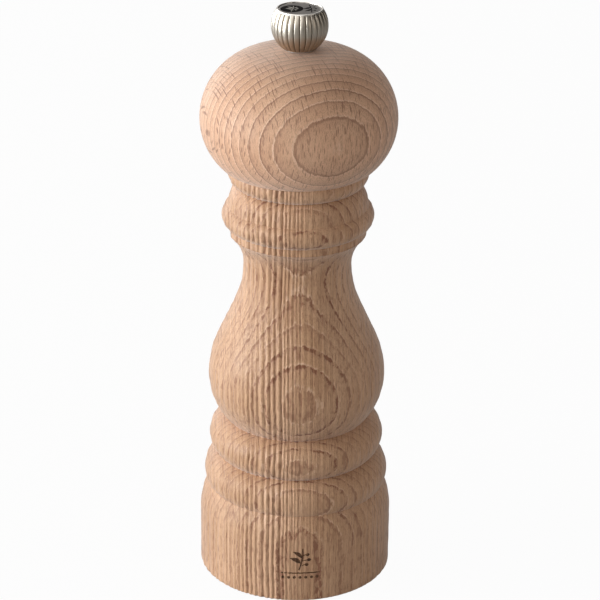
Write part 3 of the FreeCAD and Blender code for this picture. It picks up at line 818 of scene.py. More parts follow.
    def rays(self, bench: NodeBench, given: bpy.types.Node, place: object) -> bpy.types.NodeSocket:
        """Builds the rays: short upright dashes where the rings face out, and long lines along their normal.

        Args:
            bench: The bench of the group's tree.
            given: The group's input node.
            place: The place's socket.

        Returns:
            The share of the rays.
        """
        cells = bench.add("ShaderNodeTexVoronoi", {"feature": "F1"},
                          Vector=bench.stretched(place, self.ray_cells), Scale=1.0, Randomness=1.0)
        some = bench.add("ShaderNodeSeparateColor", None, Color=cells.outputs["Color"])
        chosen = bench.span(bench.sum("ADD", some.outputs[0], given.outputs["Ray Share"]), 0.9, 1.1)
        ray = bench.sum("MULTIPLY", bench.span(cells.outputs["Distance"], 0.18, 0.36, 1.0, 0.0), chosen)
        return bench.sum("MULTIPLY", ray, given.outputs["Ray Strength"], clamp=True)


class TurnedMetal(EffectGroup):
    """Fine tool marks on metal: rings on a turned piece, or straight lines along X on a rolled one."""

    along_x = (0.04, 1.0, 1.0)
    round_drift = 0.03
    clouds = (0.35, 0.35, 0.35)
    dulled = (0.55, 0.53, 0.50, 1.0)
    streaks = 0.10

    name = "tool_marks"
    inputs = (("Turned", "NodeSocketFloat", 1.0), ("Fineness", "NodeSocketFloat", 6.0),
              ("Metal", "NodeSocketColor", (0.6, 0.6, 0.6, 1.0)), ("Contrast", "NodeSocketFloat", 0.15),
              ("Polish", "NodeSocketFloat", 0.3), ("Unevenness", "NodeSocketFloat", 0.15))
    outputs = (("Colour", "NodeSocketColor"), ("Roughness", "NodeSocketFloat"), ("Height", "NodeSocketFloat"))

    def wire(self, bench: NodeBench, given: bpy.types.Node, result: bpy.types.Node) -> None:
        """Builds the tool marks.

        Args:
            bench: The bench of the group's tree.
            given: The group's input node.
            result: The group's output node.
        """
        place = bench.place_mm()
        parts = bench.add("ShaderNodeSeparateXYZ", None, Vector=place)
        x, y, z = parts.outputs
        radius = bench.sum("SQRT", bench.sum("MULTIPLY_ADD", x, x, bench.sum("MULTIPLY", y, y)))
        drift = bench.sum("MULTIPLY", x, self.round_drift)
        round_place = bench.add("ShaderNodeCombineXYZ", None, X=radius, Y=z, Z=drift)
        straight = bench.stretched(place, self.along_x)
        chosen = bench.add("ShaderNodeMix", {"data_type": "VECTOR"}, Factor=given.outputs["Turned"])
        vectors = [socket for socket in chosen.inputs if socket.type == "VECTOR"]
        bench.feed(vectors[-2], straight)
        bench.feed(vectors[-1], round_place.outputs[0])
        where = [socket for socket in chosen.outputs if socket.type == "VECTOR"][0]
        scaled = bench.add("ShaderNodeVectorMath", {"operation": "SCALE"}, Vector=where,
                           Scale=given.outputs["Fineness"])
        marks = bench.noise(scaled.outputs[0], (1.0, 1.0, 1.0), 4.0, 0.65)
        cloud = bench.noise(place, self.clouds, 3.0, 0.6)
        dim = bench.blend(1.0, given.outputs["Metal"], self.dulled, "MULTIPLY")
        mixed = bench.sum("ADD", marks, bench.sum("MULTIPLY", cloud, 0.6))
        share = bench.sum("MULTIPLY", bench.span(mixed, 0.5, 1.1), given.outputs["Contrast"])
        bench.feed(result.inputs["Colour"], bench.blend(share, given.outputs["Metal"], dim))
        uneven = bench.sum("MULTIPLY", bench.around(cloud), given.outputs["Unevenness"])
        streak = bench.sum("MULTIPLY_ADD", bench.around(marks), self.streaks, given.outputs["Polish"])
        bench.feed(result.inputs["Roughness"], bench.sum("ADD", streak, uneven, clamp=True))
        bench.feed(result.inputs["Height"], marks)


class EdgeWear(EffectGroup):
    """Where handling has rubbed the edges, broken up so that it isn't an even line, and the hollows, where
    shade is painted.
    """

    patches = (0.9, 0.9, 0.9)

    name = "edge_wear"
    inputs = (("Amount", "NodeSocketFloat", 0.5),)
    outputs = (("Mask", "NodeSocketFloat"), ("Hollow Shade", "NodeSocketFloat"))

    def wire(self, bench: NodeBench, given: bpy.types.Node, result: bpy.types.Node) -> None:
        """Builds the wear mask and the mask of the hollows that get painted shade.

        Args:
            bench: The bench of the group's tree.
            given: The group's input node.
            result: The group's output node.
        """
        shape = bench.tree.nodes.new("ShaderNodeNewGeometry")
        edge = bench.span(shape.outputs["Pointiness"], 0.505, 0.56)
        patchy = bench.span(bench.noise(bench.place_mm(), self.patches, 3.0), 0.35, 0.65)
        mask = bench.sum("MULTIPLY", bench.sum("MULTIPLY", edge, patchy), given.outputs["Amount"], clamp=True)
        bench.feed(result.inputs["Mask"], mask)
        # painted shade: concave places are marked to be darkened as if shade fell in them
        bench.feed(result.inputs["Hollow Shade"], bench.span(shape.outputs["Pointiness"], 0.43, 0.49, 1.0, 0.0))


class HandlingDust(EffectGroup):
    """Finger marks and the dust that settles on faces that look up."""

    specks = (2.2, 2.2, 2.2)
    finger_marks = (0.16, 0.16, 0.1)

    name = "handling_dust"
    inputs = (("Dust", "NodeSocketFloat", 0.2), ("Smudge", "NodeSocketFloat", 0.2))
    outputs = (("Dust Mask", "NodeSocketFloat"), ("Smudge Value", "NodeSocketFloat"))

    def wire(self, bench: NodeBench, given: bpy.types.Node, result: bpy.types.Node) -> None:
        """Builds the dust mask and the smudges.

        Args:
            bench: The bench of the group's tree.
            given: The group's input node.
            result: The group's output node.
        """
        place = bench.place_mm()
        shape = bench.tree.nodes.new("ShaderNodeNewGeometry")
        facing = bench.add("ShaderNodeSeparateXYZ", None, Vector=shape.outputs["Normal"])
        up = bench.span(facing.outputs[2], 0.35, 0.95)
        specks = bench.span(bench.noise(place, self.specks, 4.0, 0.7), 0.50, 0.75)
        dust = bench.sum("MULTIPLY", bench.sum("MULTIPLY", up, specks), given.outputs["Dust"], clamp=True)
        bench.feed(result.inputs["Dust Mask"], dust)
        marks = bench.span(bench.noise(place, self.finger_marks, 3.0, 0.6), 0.4, 0.7)
        bench.feed(result.inputs["Smudge Value"], bench.sum("MULTIPLY", marks, given.outputs["Smudge"]))


# ------------------------------------------------------------------ finishes
PALE_DUST = (0.62, 0.58, 0.52, 1.0)
DARK_DUST = (0.36, 0.33, 0.30, 1.0)
# the near-black brown of the shade painted into a metal's hollows
HOLLOW_SHADE = (0.10, 0.075, 0.055, 1.0)


def new_material(name: str) -> tuple[bpy.types.Material, NodeBench, bpy.types.Node]:
    """Starts a material with one Principled shader.

    Args:
        name: The material's name.

    Returns:
        The material, the bench of its tree and the shader.
    """
    material = bpy.data.materials.new(name)
    material.use_nodes = True
    tree = material.node_tree
    tree.nodes.clear()
    bench = NodeBench(tree)
    shader = tree.nodes.new("ShaderNodeBsdfPrincipled")
    output = tree.nodes.new("ShaderNodeOutputMaterial")
    tree.links.new(shader.outputs[0], output.inputs[0])
    return material, bench, shader


@dataclass(frozen=True)
class BeechFinish:
    """Bare turned beech, worn by hands, with painted shade in the valleys of its raised grain."""

    name: str
    ring_turn_deg: float
    ring_spacing_mm: float
    ring_start_mm: float
    ring_bow_mm: float
    waver: float
    step_mm: float
    line_strength: float
    line_break: float
    line_width: float
    band: float
    ray_strength: float
    ray_share: float
    blotch_strength: float
    fibre_strength: float
    ridge_strength: float
    light_wood: Colour = (0.600, 0.375, 0.252, 1.0)
    warm_wood: Colour = (0.520, 0.308, 0.196, 1.0)
    late_wood: Colour = (0.190, 0.090, 0.047, 1.0)
    pale_wood: Colour = (0.740, 0.500, 0.360, 1.0)
    # the dark brown of the shade painted into the valleys, and how strongly it is painted
    valley_shade_colour: Colour = (0.230, 0.105, 0.050, 1.0)
    valley_shade_share: float = 0.75
    relief_mm: float = 0.10
    side_strength: float = 1.0
    sheen: float = 0.22
    specular: float = 0.36

    def make(self) -> bpy.types.Material:
        """Builds the finish.

        Returns:
            The material.
        """
        material, bench, shader = new_material(self.name)
        grain = BeechGrain().use(
            bench, Ring_Turn=-math.radians(self.ring_turn_deg), Ring_Spacing=self.ring_spacing_mm,
            Ring_Start=self.ring_start_mm, Ring_Bow=self.ring_bow_mm, Waver=self.waver, Step=self.step_mm,
            Line_Strength=self.line_strength, Line_Break=self.line_break, Line_Width=self.line_width,
            Band=self.band, Side_Strength=self.side_strength, Ray_Strength=self.ray_strength,
            Ray_Share=self.ray_share, Blotch_Strength=self.blotch_strength,
            Fibre_Strength=self.fibre_strength, Ridge_Strength=self.ridge_strength,
            Light_Wood=self.light_wood, Warm_Wood=self.warm_wood, Late_Wood=self.late_wood,
            Pale_Wood=self.pale_wood)
        wear = EdgeWear().use(bench, Amount=0.35)
        dust = HandlingDust().use(bench, Dust=0.05, Smudge=0.10)
        # painted shade: the valleys of the raised grain are darkened towards a dark brown
        valley = bench.add("ShaderNodeAttribute", {"attribute_name": "valley"}).outputs["Fac"]
        valley_shade = bench.sum("MULTIPLY", valley, self.valley_shade_share, clamp=True)
        colour = bench.blend(valley_shade, grain.outputs["Colour"], self.valley_shade_colour)
        colour = bench.blend(wear.outputs["Mask"], colour, self.light_wood)
        colour = bench.blend(dust.outputs["Dust Mask"], colour, PALE_DUST)
        bench.feed(shader.inputs["Base Color"], colour)
        rough = bench.sum("SUBTRACT", grain.outputs["Roughness"], dust.outputs["Smudge Value"])
        bench.feed(shader.inputs["Roughness"], rough)
        bump = bench.add("ShaderNodeBump", None, Strength=0.55, Distance=self.relief_mm * MM,
                         Height=grain.outputs["Height"])
        bench.feed(shader.inputs["Normal"], bump.outputs[0])
        shader.inputs["Specular IOR Level"].default_value = self.specular
        shader.inputs["Sheen Weight"].default_value = self.sheen
        shader.inputs["Sheen Roughness"].default_value = 0.5
        return material


@dataclass(frozen=True)
class MetalFinish:
    """A metal with tool marks, rubbed edges, a little dust and painted shade in its hollows."""

    name: str
    metal: Colour
    polish: float
    turned: bool = True
    fineness: float = 6.0
    contrast: float = 0.25
    unevenness: float = 0.18
    relief_mm: float = 0.01
    wear: float = 0.4
    worn: Colour = (0.75, 0.74, 0.72, 1.0)
    # how strongly shade is painted into the hollows
    hollow_shade: float = 0.0
    dust: float = 0.12

    def make(self) -> bpy.types.Material:
        """Builds the finish.

        Returns:
            The material.
        """
        material, bench, shader = new_material(self.name)
        marks = TurnedMetal().use(bench, Turned=float(self.turned), Fineness=self.fineness, Metal=self.metal,
                                  Contrast=self.contrast, Polish=self.polish, Unevenness=self.unevenness)
        wear = EdgeWear().use(bench, Amount=self.wear)
        dust = HandlingDust().use(bench, Dust=self.dust, Smudge=0.08)
        colour = bench.blend(wear.outputs["Mask"], marks.outputs["Colour"], self.worn)
        colour = bench.blend(dust.outputs["Dust Mask"], colour, DARK_DUST)
        # painted shade: the hollows are darkened towards a near-black brown
        hollow = bench.sum("MULTIPLY", wear.outputs["Hollow Shade"], self.hollow_shade, clamp=True)
        colour = bench.blend(hollow, colour, HOLLOW_SHADE)
        bench.feed(shader.inputs["Base Color"], colour)
        rough = bench.sum("ADD", marks.outputs["Roughness"], dust.outputs["Smudge Value"], clamp=True)
        rough = bench.sum("MULTIPLY_ADD", dust.outputs["Dust Mask"], 0.4, rough, clamp=True)
        bench.feed(shader.inputs["Roughness"], rough)
        bump = bench.add("ShaderNodeBump", None, Strength=0.5, Distance=self.relief_mm * MM,
                         Height=marks.outputs["Height"])
        bench.feed(shader.inputs["Normal"], bump.outputs[0])
        shader.inputs["Metallic"].default_value = 1.0
        return material


@dataclass(frozen=True)
class InkFinish:
    """A flat printed or burnt colour with a little unevenness."""

    name: str
    ink: Colour
    thin: Colour
    matt: float
    patch_mm: float = 0.8
    specular: float = 0.3

    def make(self) -> bpy.types.Material:
        """Builds the finish.

        Returns:
            The material.
        """
        material, bench, shader = new_material(self.name)
        size = 1.0 / self.patch_mm
        patch = bench.span(bench.noise(bench.place_mm(), (size, size, size), 3.0, 0.6), 0.42, 0.72)
        bench.feed(shader.inputs["Base Color"], bench.blend(patch, self.ink, self.thin))
        bench.feed(shader.inputs["Roughness"], bench.sum("MULTIPLY_ADD", patch, 0.12, self.matt))
        shader.inputs["Specular IOR Level"].default_value = self.specular
        return material


def dress(piece: bpy.types.Object, material: bpy.types.Material) -> bpy.types.Object:
    """Gives a piece one material.

    Args:
        piece: The piece.
        material: The material for all its faces.

    Returns:
        The piece.
    """
    if piece.data.materials:
        for i in range(len(piece.data.materials)):
            piece.data.materials[i] = material
    else:
        piece.data.materials.append(material)
    return piece


# ------------------------------------------------------------------ turned wood
@dataclass
class WoodenBody:
    """The turned body: a foot, two rings, a belly, a long neck and a beaded collar."""

    base_radius: float = 29.6
    base_edge_round: float = 0.8
    base_wall_height: float = 18.7
    low_groove: Point = (27.15, 27.95)
    mid_groove: Point = (24.05, 38.65)
    top_groove: Point = (21.7, 50.7)
    belly: Point = (26.95, 64.3)
    neck: Point = (16.3, 100.6)
    low_ring_bulge: float = 2.5
    high_ring_bulge: float = 3.8
    belly_share: float = 0.42
    neck_share: float = 0.47
    neck_flare_radius: float = 13.6
    fillet: tuple[Point, Point] = ((20.45, 110.5), (20.45, 112.75))
    bead_top: Point = (21.2, 119.6)
    quirk: Point = (20.8, 121.85)
    collar_groove: Point = (18.0, 126.1)
    rim: Point = (20.8, 131.3)
    bead_bulge: float = 2.05
    cove_bulge: float = 0.45
    rim_bulge: float = 1.4
    spigot_bore: Point = (14.0, 120.1)
    bore_radius: float = 12.5
    ring_seat: tuple[float, float, float] = (15.1, 4.0, 19.0)
    foot_recess_radius: float = 21.3
    segments: int = 720
    crowding: float = 0.5
    inner_step: float = 60.0
    grain: RaisedGrain = field(default_factory=RaisedGrain)
    outer_rows: int = 0

    def outline(self) -> Outline:
        """Draws the outside from the foot to the rim, then the inside back down.

        Returns:
            The whole outline.
        """
        foot_edge = (self.base_radius - self.base_edge_round, 0.0)
        path = Outline(foot_edge, longest=1.75, turn=8.0).corner()
        path.swing((foot_edge[0], self.base_edge_round), self.base_edge_round, -math.pi / 2, 0.0)
        path.line_to((self.base_radius, self.base_wall_height), 2.2)
        inset = self.base_radius - self.low_groove[0]
        rise = self.low_groove[1] - self.base_wall_height
        shoulder = (inset ** 2 + rise ** 2) / (2 * inset)
        path.swing((self.base_radius - shoulder, self.base_wall_height), shoulder, 0.0,
                   math.asin(rise / shoulder))
        path.corner().bulge_to(self.mid_groove, self.low_ring_bulge)
        path.corner().bulge_to(self.top_groove, self.high_ring_bulge).corner()
        out, up = self.belly[0] - self.top_groove[0], self.belly[1] - self.top_groove[1]
        under = (out ** 2 + up ** 2) / (2 * out)
        path.swing((self.belly[0] - under, self.belly[1]), under, -math.asin(up / under), 0.0)
        self.ogee(path)
        flare_end = math.asin((self.fillet[0][1] - self.neck[1]) / self.neck_flare_radius)
        path.swing((self.neck[0] + self.neck_flare_radius, self.neck[1]), -self.neck_flare_radius, 0.0,
                   -flare_end)
        path.corner().line_to(self.fillet[0]).corner().line_to(self.fillet[1], 1.2).corner()
        path.turn = math.radians(9.0)
        path.bulge_to(self.bead_top, self.bead_bulge).corner()
        path.line_to(self.quirk, 1.2).corner().bulge_to(self.collar_groove, self.cove_bulge).corner()
        path.bulge_to(self.rim, self.rim_bulge).corner()
        self.outer_rows = len(path.points)
        seat_radius, seat_low, seat_high = self.ring_seat
        inside = [
            (self.spigot_bore[0], self.rim[1]), self.spigot_bore, (self.bore_radius, self.spigot_bore[1]),
            (self.bore_radius, seat_high), (seat_radius, seat_high), (seat_radius, seat_low),
            (self.foot_recess_radius, seat_low), (self.foot_recess_radius, 0.0),
        ]
        for place in inside:
            path.line_to(place, self.inner_step).corner()
        return path

    def ogee(self, path: Outline) -> None:
        """Adds the S from the belly up to the neck: an arc, a straight stretch and a hollow arc.

        Args:
            path: The outline, which ends at the belly.
        """
        drop, rise = self.belly[0] - self.neck[0], self.neck[1] - self.belly[1]
        whole = (drop ** 2 + rise ** 2) / (2 * drop)
        lower, upper = self.belly_share * whole, self.neck_share * whole
        low_centre = (self.belly[0] - lower, self.belly[1])
        high_centre = (self.neck[0] + upper, self.neck[1])
        apart = math.hypot(high_centre[0] - low_centre[0], rise)
        angle = math.atan2(rise, high_centre[0] - low_centre[0]) - math.acos((lower + upper) / apart)
        path.swing(low_centre, lower, 0.0, angle)
        path.line_to((high_centre[0] - upper * math.cos(angle), high_centre[1] - upper * math.sin(angle)))
        path.swing(high_centre, -upper, angle, 0.0)

    def worn_radius(self, radii: np.ndarray, angles: np.ndarray, height: float, row: int) -> np.ndarray:
        """The outer radii after wear.

        Args:
            radii: The turned radii of one row.
            angles: The row's angles.
            height: The row's height.
            row: The row's number in the outline.

        Returns:
            The worn radii.
        """
        if row >= self.outer_rows:
            return radii
        depth, _ = self.grain.relief(radii * np.cos(angles), radii * np.sin(angles), height)
        return radii - depth

    def build(self) -> bpy.types.Object:
        """Builds the body and stores at each point how much painted shade its valley gets.

        Returns:
            The body.
        """
        outline = self.outline()
        piece = spin("wooden_body_worn", outline, self.segments, cut=self.worn_radius, crowding=self.crowding)
        places = np.zeros(len(piece.data.vertices) * 3)
        piece.data.vertices.foreach_get("co", places)
        places = places.reshape(-1, 3) / MM
        valley = np.zeros(len(places), dtype=np.float32)
        for row in range(self.outer_rows):
            part = slice(row * self.segments, (row + 1) * self.segments)
            _, valley[part] = self.grain.relief(places[part, 0], places[part, 1], outline.points[row][1])
        # the valley attribute holds painted shade, which the body's finish darkens the wood with
        store = piece.data.attributes.new("valley", "FLOAT", "POINT")
        store.data.foreach_set("value", valley)
        return piece

    def mark_place(self, across: float, up: float, lift: float) -> Point3:
        """A point on the front of the foot.

        Args:
            across: How far to the right of the middle, in millimetres.
            up: The height in millimetres.
            lift: How far off the surface, in millimetres.

        Returns:
            The point, in millimetres.
        """
        angle = math.asin(across / self.base_radius)
        front = -self.base_radius * math.cos(angle)
        depth, _ = self.grain.relief(np.array([across]), np.array([front]), up)
        radius = self.base_radius - float(depth[0]) + lift
        return radius * math.sin(angle), -radius * math.cos(angle), up


@dataclass
class BurntMark:
    """The small burnt mark on the front of the foot: a sprig over a bar and a row of dots."""

    body: WoodenBody
    middle: Point = (1.7, 14.6)
    sprig_size: float = 7.4
    sprig_weight: float = 0.8
    bar_height: float = 9.9
    bar_half: float = 6.0
    bar_width: float = 0.40
    dots: int = 7
    dot_gap: float = 1.75
    dot_half: float = 0.48
    dot_drop: float = 1.5
    lift: float = 0.03

    def build(self) -> bpy.types.Object:
        """Builds the mark.

        Returns:
            The mark.
        """
        side = self.middle[0]
        bar = ((side - self.bar_half, self.bar_height), (side + self.bar_half, self.bar_height))
        strokes = [Stroke(bar, self.bar_width)]
        strokes += placed_sprig(self.sprig_size, self.middle, (1.0, 1.0), self.sprig_weight)
        for number in range(self.dots):
            dot, low = side + self.dot_gap * (number - self.dots // 2), self.bar_height - self.dot_drop
            ends = ((dot - self.dot_half, low), (dot + self.dot_half, low))
            strokes.append(Stroke(ends, 2 * self.dot_half, StrokeForm.BERRY))
        return laid_strokes("burnt_mark", strokes, self.body.mark_place, self.lift)


@dataclass
class WoodenHead:
    """The turned head: a bulb with a shallow crown, and the spigot that turns in the body."""

    base_height: float = 131.7
    lower_edge: float = 22.15
    edge_round: float = 0.35
    widest: Point = (29.3, 146.8)
    side_radius: float = 20.45
    crown: float = 168.0
    washer_seat: Point = (4.45, 167.65)
    crown_hole: Point = (2.9, 163.65)
    shaft_hole_radius: float = 3.634
    spigot: Point = (13.7, 120.7)
    plate_recess: Point = (11.2, 122.3)
    edge_end: float = -0.6
    edge_blend: float = 0.1
    inner_step: float = 60.0
    segments: int = 360

    def outline(self) -> Outline:
        """Draws from the spigot out, over the bulb and down the shaft's hole.

        Returns:
            The whole outline.
        """
        path = Outline((self.plate_recess[0], self.spigot[1]), longest=1.6, turn=5.0).corner()
        path.line_to(self.spigot, 5.0).corner().line_to((self.spigot[0], self.base_height), 20.0).corner()
        path.line_to((self.lower_edge - self.edge_round, self.base_height), 3.0)
        path.swing((self.lower_edge - self.edge_round, self.base_height + self.edge_round), self.edge_round,
                   -math.pi / 2, self.edge_end)
        swell, rise = self.widest[0] - self.lower_edge, self.widest[1] - self.base_height
        bulb = (swell ** 2 + rise ** 2) / (2 * swell)
        centre = (self.widest[0] - bulb, self.widest[1])
        first = -math.asin((self.widest[1] - path.points[-1][1] - self.edge_blend) / bulb)
        path.swing(centre, bulb, first, 0.0)
        side_centre = self.widest[0] - self.side_radius
        height = self.crown - self.widest[1]
        crown_rise = height - self.side_radius
        crown_radius = (side_centre ** 2 + height ** 2 - self.side_radius ** 2) / (2 * crown_rise)
        meet = math.asin(side_centre / (crown_radius - self.side_radius))
        path.swing((side_centre, self.widest[1]), self.side_radius, 0.0, math.pi / 2 - meet)
        seat = math.acos(self.washer_seat[0] / crown_radius)
        path.swing((0.0, self.crown - crown_radius), crown_radius, math.pi / 2 - meet, seat).corner()
        inside = [
            self.washer_seat, (self.crown_hole[0], self.washer_seat[1]), self.crown_hole,
            (self.shaft_hole_radius, self.crown_hole[1]), (self.shaft_hole_radius, self.plate_recess[1]),
            self.plate_recess,
        ]
        for place in inside:
            path.line_to(place, self.inner_step).corner()
        return path

    def build(self) -> bpy.types.Object:
        """Builds the head."""
        return spin("wooden_head_turned", self.outline(), self.segments)


# ------------------------------------------------------------------ knob
@dataclass
class Knob:
    """The fluted ball on top, with its bright ring and its printed disc."""

    radius: float = 8.4
    foot_radius: float = 5.15
    foot: float = 168.3
    neck_height: float = 0.1
    reeds: int = 28
    samples_per_reed: int = 14
    groove_depth: float = 0.46
    groove_share: float = 0.30
    reed_round: float = 0.14
    flute_fade: float = 0.9
    fluted_rows: tuple[int, int] = (0, 0)
    bezel_radius: float = 6.85
    bezel_width: float = 0.55
    bezel_span: tuple[float, float] = (178.8, 180.2)
    disc_span: tuple[float, float] = (179.1, 179.9)
    disc_crown: float = 0.15
    insert_radius: float = 3.93
    insert_top: float = 178.72
    patch_radius: float = 3.35
    patch_middle: Point = (-2.35, -0.2)
    patch_faces: tuple[float, float] = (0.015, -0.02)
    patch_rings: int = 8
    patch_steps: int = 96
    sign_lift: float = 0.035
    leafwork_middle: Point = (2.9, 0.1)
    leafwork_lift: float = 0.02
    disc_rings: int = 12

    @property
    def centre(self) -> float:
        """The height of the ball's centre."""
        return self.foot + self.neck_height + math.sqrt(self.radius ** 2 - self.foot_radius ** 2)

    @property
    def disc_radius(self) -> float:
        """The radius of the disc and of the bezel's inside."""
        return self.bezel_radius - self.bezel_width

    @property
    def ball_top(self) -> float:
        """The height where the ball meets the bezel."""
        return self.centre + math.sqrt(self.radius ** 2 - self.bezel_radius ** 2)

    def fluted_radius(self, radii: np.ndarray, angles: np.ndarray, height: float, row: int) -> np.ndarray:
        """The radii of one row after the grooves are cut.

        Args:
            radii: The ball's radii.
            angles: The row's angles.
            height: The row's height.
            row: The row's number in the outline.

        Returns:
            The fluted radii.
        """
        if row < self.fluted_rows[0] or row > self.fluted_rows[1]:
            return radii
        t = (angles * self.reeds / (2 * math.pi)) % 1.0
        edge = np.minimum(t, 1.0 - t)
        groove = np.clip(1.0 - edge / (self.groove_share / 2), 0.0, 1.0)
        groove = groove * groove * (3 - 2 * groove)
        crown = self.reed_round * (1.0 - np.sin(math.pi * t))
        low = (height - self.foot - self.neck_height) / self.flute_fade
        high = (self.ball_top - height) / self.flute_fade
        fade = math.sqrt(min(1.0, max(0.0, low)) * min(1.0, max(0.0, high)))
        return radii - (self.groove_depth * groove + crown) * fade

    def build_shell(self) -> bpy.types.Object:
        """Builds the fluted ball with the seats for its insert, bezel and disc.

        Returns:
            The ball.
        """
        path = Outline((self.insert_radius, self.foot), longest=0.42, turn=3.2).corner()
        path.line_to((self.foot_radius, self.foot), 2.0).corner()
        path.line_to((self.foot_radius, self.foot + self.neck_height), 1.0)
        start = -math.asin((self.centre - self.foot - self.neck_height) / self.radius)
        end = math.asin((self.ball_top - self.centre) / self.radius)
        first_fluted = len(path.points)
        path.swing((0.0, self.centre), self.radius, start, end).corner()
        self.fluted_rows = (first_fluted, len(path.points) - 2)
        seat = self.disc_radius
        for place in ((self.bezel_radius, self.bezel_span[0]), (seat, self.bezel_span[0]),
                      (seat, self.disc_span[0]), (self.insert_radius, self.disc_span[0]),
                      (self.insert_radius, self.insert_top)):
            path.line_to(place, 20.0).corner()
        return spin("knob_shell_fluted", path, self.reeds * self.samples_per_reed, cut=self.fluted_radius)

    def build_bezel(self) -> bpy.types.Object:
        """Builds the bright ring round the disc.

        Returns:
            The ring.
        """
        inner = self.disc_radius
        half = self.bezel_width / 2
        top = self.bezel_span[1] - half
        path = Outline((inner, self.bezel_span[0]), turn=12.0).corner()
        path.line_to((self.bezel_radius, self.bezel_span[0]), 2.0).corner()
        path.line_to((self.bezel_radius, top), 2.0)
        path.swing((inner + half, top), half, 0.0, math.pi)
        return spin("knob_bezel_bright", path, 192)

    def disc_height(self, radius: float) -> float:
        """The disc's height at a distance from its middle."""
        return self.disc_span[1] + self.disc_crown * (1.0 - (radius / self.disc_radius) ** 2)

    def build_disc(self) -> bpy.types.Object:
        """Builds the slightly domed disc.

        Returns:
            The disc.
        """
        edge = self.disc_radius
        path = Outline((0.0, self.disc_span[0]))
        path.line_to((edge, self.disc_span[0]), 10.0).corner()
        path.line_to((edge, self.disc_span[1]), 2.0).corner()
        for i in range(1, self.disc_rings + 1):
            radius = edge * (1 - i / self.disc_rings)
            path.points.append((radius, self.disc_height(radius)))
        return spin("knob_disc_domed", path, 160, closed=False)

    def disc_place(self, across: float, up: float, lift: float) -> Point3:
        """A point on the disc.

        Args:
            across: The place to the right of the middle, in millimetres.
            up: The place behind the middle, in millimetres.
            lift: How far off the surface, in millimetres.

        Returns:
            The point, in millimetres.
        """
        return across, up, self.disc_height(math.hypot(across, up)) + lift

    def build_patch(self) -> bpy.types.Object:
        """Builds the thin dark round patch printed on the left of the disc.

        Returns:
            The patch, a thin closed sheet.
        """
        points: list[Point3] = []
        faces: list[tuple[int, ...]] = []
        rings, steps = self.patch_rings, self.patch_steps
        for lift in self.patch_faces:
            points.append(self.disc_place(*self.patch_middle, lift))
            for ring in range(1, rings + 1):
                for step in range(steps):
                    angle = 2 * math.pi * step / steps
                    reach = self.patch_radius * ring / rings
                    points.append(self.disc_place(self.patch_middle[0] + reach * math.cos(angle),
                                                  self.patch_middle[1] + reach * math.sin(angle), lift))
        sheet = 1 + rings * steps
        for start, flip in ((0, False), (sheet, True)):
            for step in range(steps):
                after = (step + 1) % steps
                corners = [(start, start + 1 + step, start + 1 + after)]
                for ring in range(rings - 1):
                    low, high = start + 1 + ring * steps, start + 1 + (ring + 1) * steps
                    corners.append((low + step, high + step, high + after, low + after))
                faces.extend(tuple(reversed(corner)) if flip else corner for corner in corners)
        rim = 1 + (rings - 1) * steps
        for step in range(steps):
            after = (step + 1) % steps
            faces.append((rim + step, sheet + rim + step, sheet + rim + after, rim + after))
        return mesh_object("knob_disc_patch", np.array(points) * MM, faces, smooth=False)

    def build_sign(self) -> bpy.types.Object:
        """Builds the pale sprig on the patch."""
        strokes = placed_sprig(3.8, self.patch_middle, (1.15, 1.3), 0.9)
        return laid_strokes("knob_disc_sign", strokes, self.disc_place, self.sign_lift)

    def build_leafwork(self) -> bpy.types.Object:
        """Builds the dark sprig on the right of the disc."""
        strokes = placed_sprig(5.6, self.leafwork_middle, (0.85, -1.25), 0.8)
        return laid_strokes("knob_disc_leafwork", strokes, self.disc_place, self.leafwork_lift)


# ------------------------------------------------------------------ spring
@dataclass
class PressureSpring:
    """The coil spring between the spring washer and the cone, with closed ends."""

    coil_radius: float = 4.713
    wire_radius: float = 0.5
    bottom: float = 19.05
    top: float = 30.10
    free_turns: float = 5.0
    closed_turns: float = 0.8
    steps_per_turn: int = 44
    closed_pitch: float = 2.06
    eased_steps: int = 7
    wire_sides: int = 14

    def build(self) -> bpy.types.Object:
        """Builds the spring, with each end coil lying flat.

        Returns:
            The spring.
        """
        turns = self.free_turns + 2 * self.closed_turns
        count = int(turns * self.steps_per_turn) + 1
        t = np.linspace(0.0, turns, count)
        low, high = self.bottom + self.wire_radius, self.top - self.wire_radius
        closed = self.closed_pitch * self.wire_radius * self.closed_turns
        knots = [0.0, self.closed_turns, turns - self.closed_turns, turns]
        heights = np.interp(t, knots, [low, low + closed, high - closed, high])
        kernel = np.hanning(2 * self.eased_steps + 1)
        padded = np.pad(heights, self.eased_steps, mode="edge")
        heights = np.convolve(padded, kernel / kernel.sum(), mode="valid")
        angle = 2 * math.pi * t
        path = np.stack([self.coil_radius * np.cos(angle), self.coil_radius * np.sin(angle), heights], axis=1)
        return tube("pressure_spring_coiled", path, self.wire_radius, self.wire_sides)


# ------------------------------------------------------------------ studio
@dataclass(frozen=True)
class Lamp:
    """One soft rectangular lamp."""

    name: str
    place: Point3
    target: Point3
    size: Point
    watts: float
    colour: Point3

    def build(self) -> bpy.types.Object:
        """Adds the lamp, turned towards its target.

        Returns:
            The lamp.
        """
        data = bpy.data.lights.new(self.name, "AREA")
        data.shape = "RECTANGLE"
        data.size, data.size_y = self.size
        data.energy = self.watts
        data.color = self.colour
        lamp = bpy.data.objects.new(self.name, data)
        lamp.location = self.place
        lamp.rotation_euler = (Vector(self.place) - Vector(self.target)).to_track_quat("Z", "Y").to_euler()
        bpy.context.scene.collection.objects.link(lamp)
        return lamp


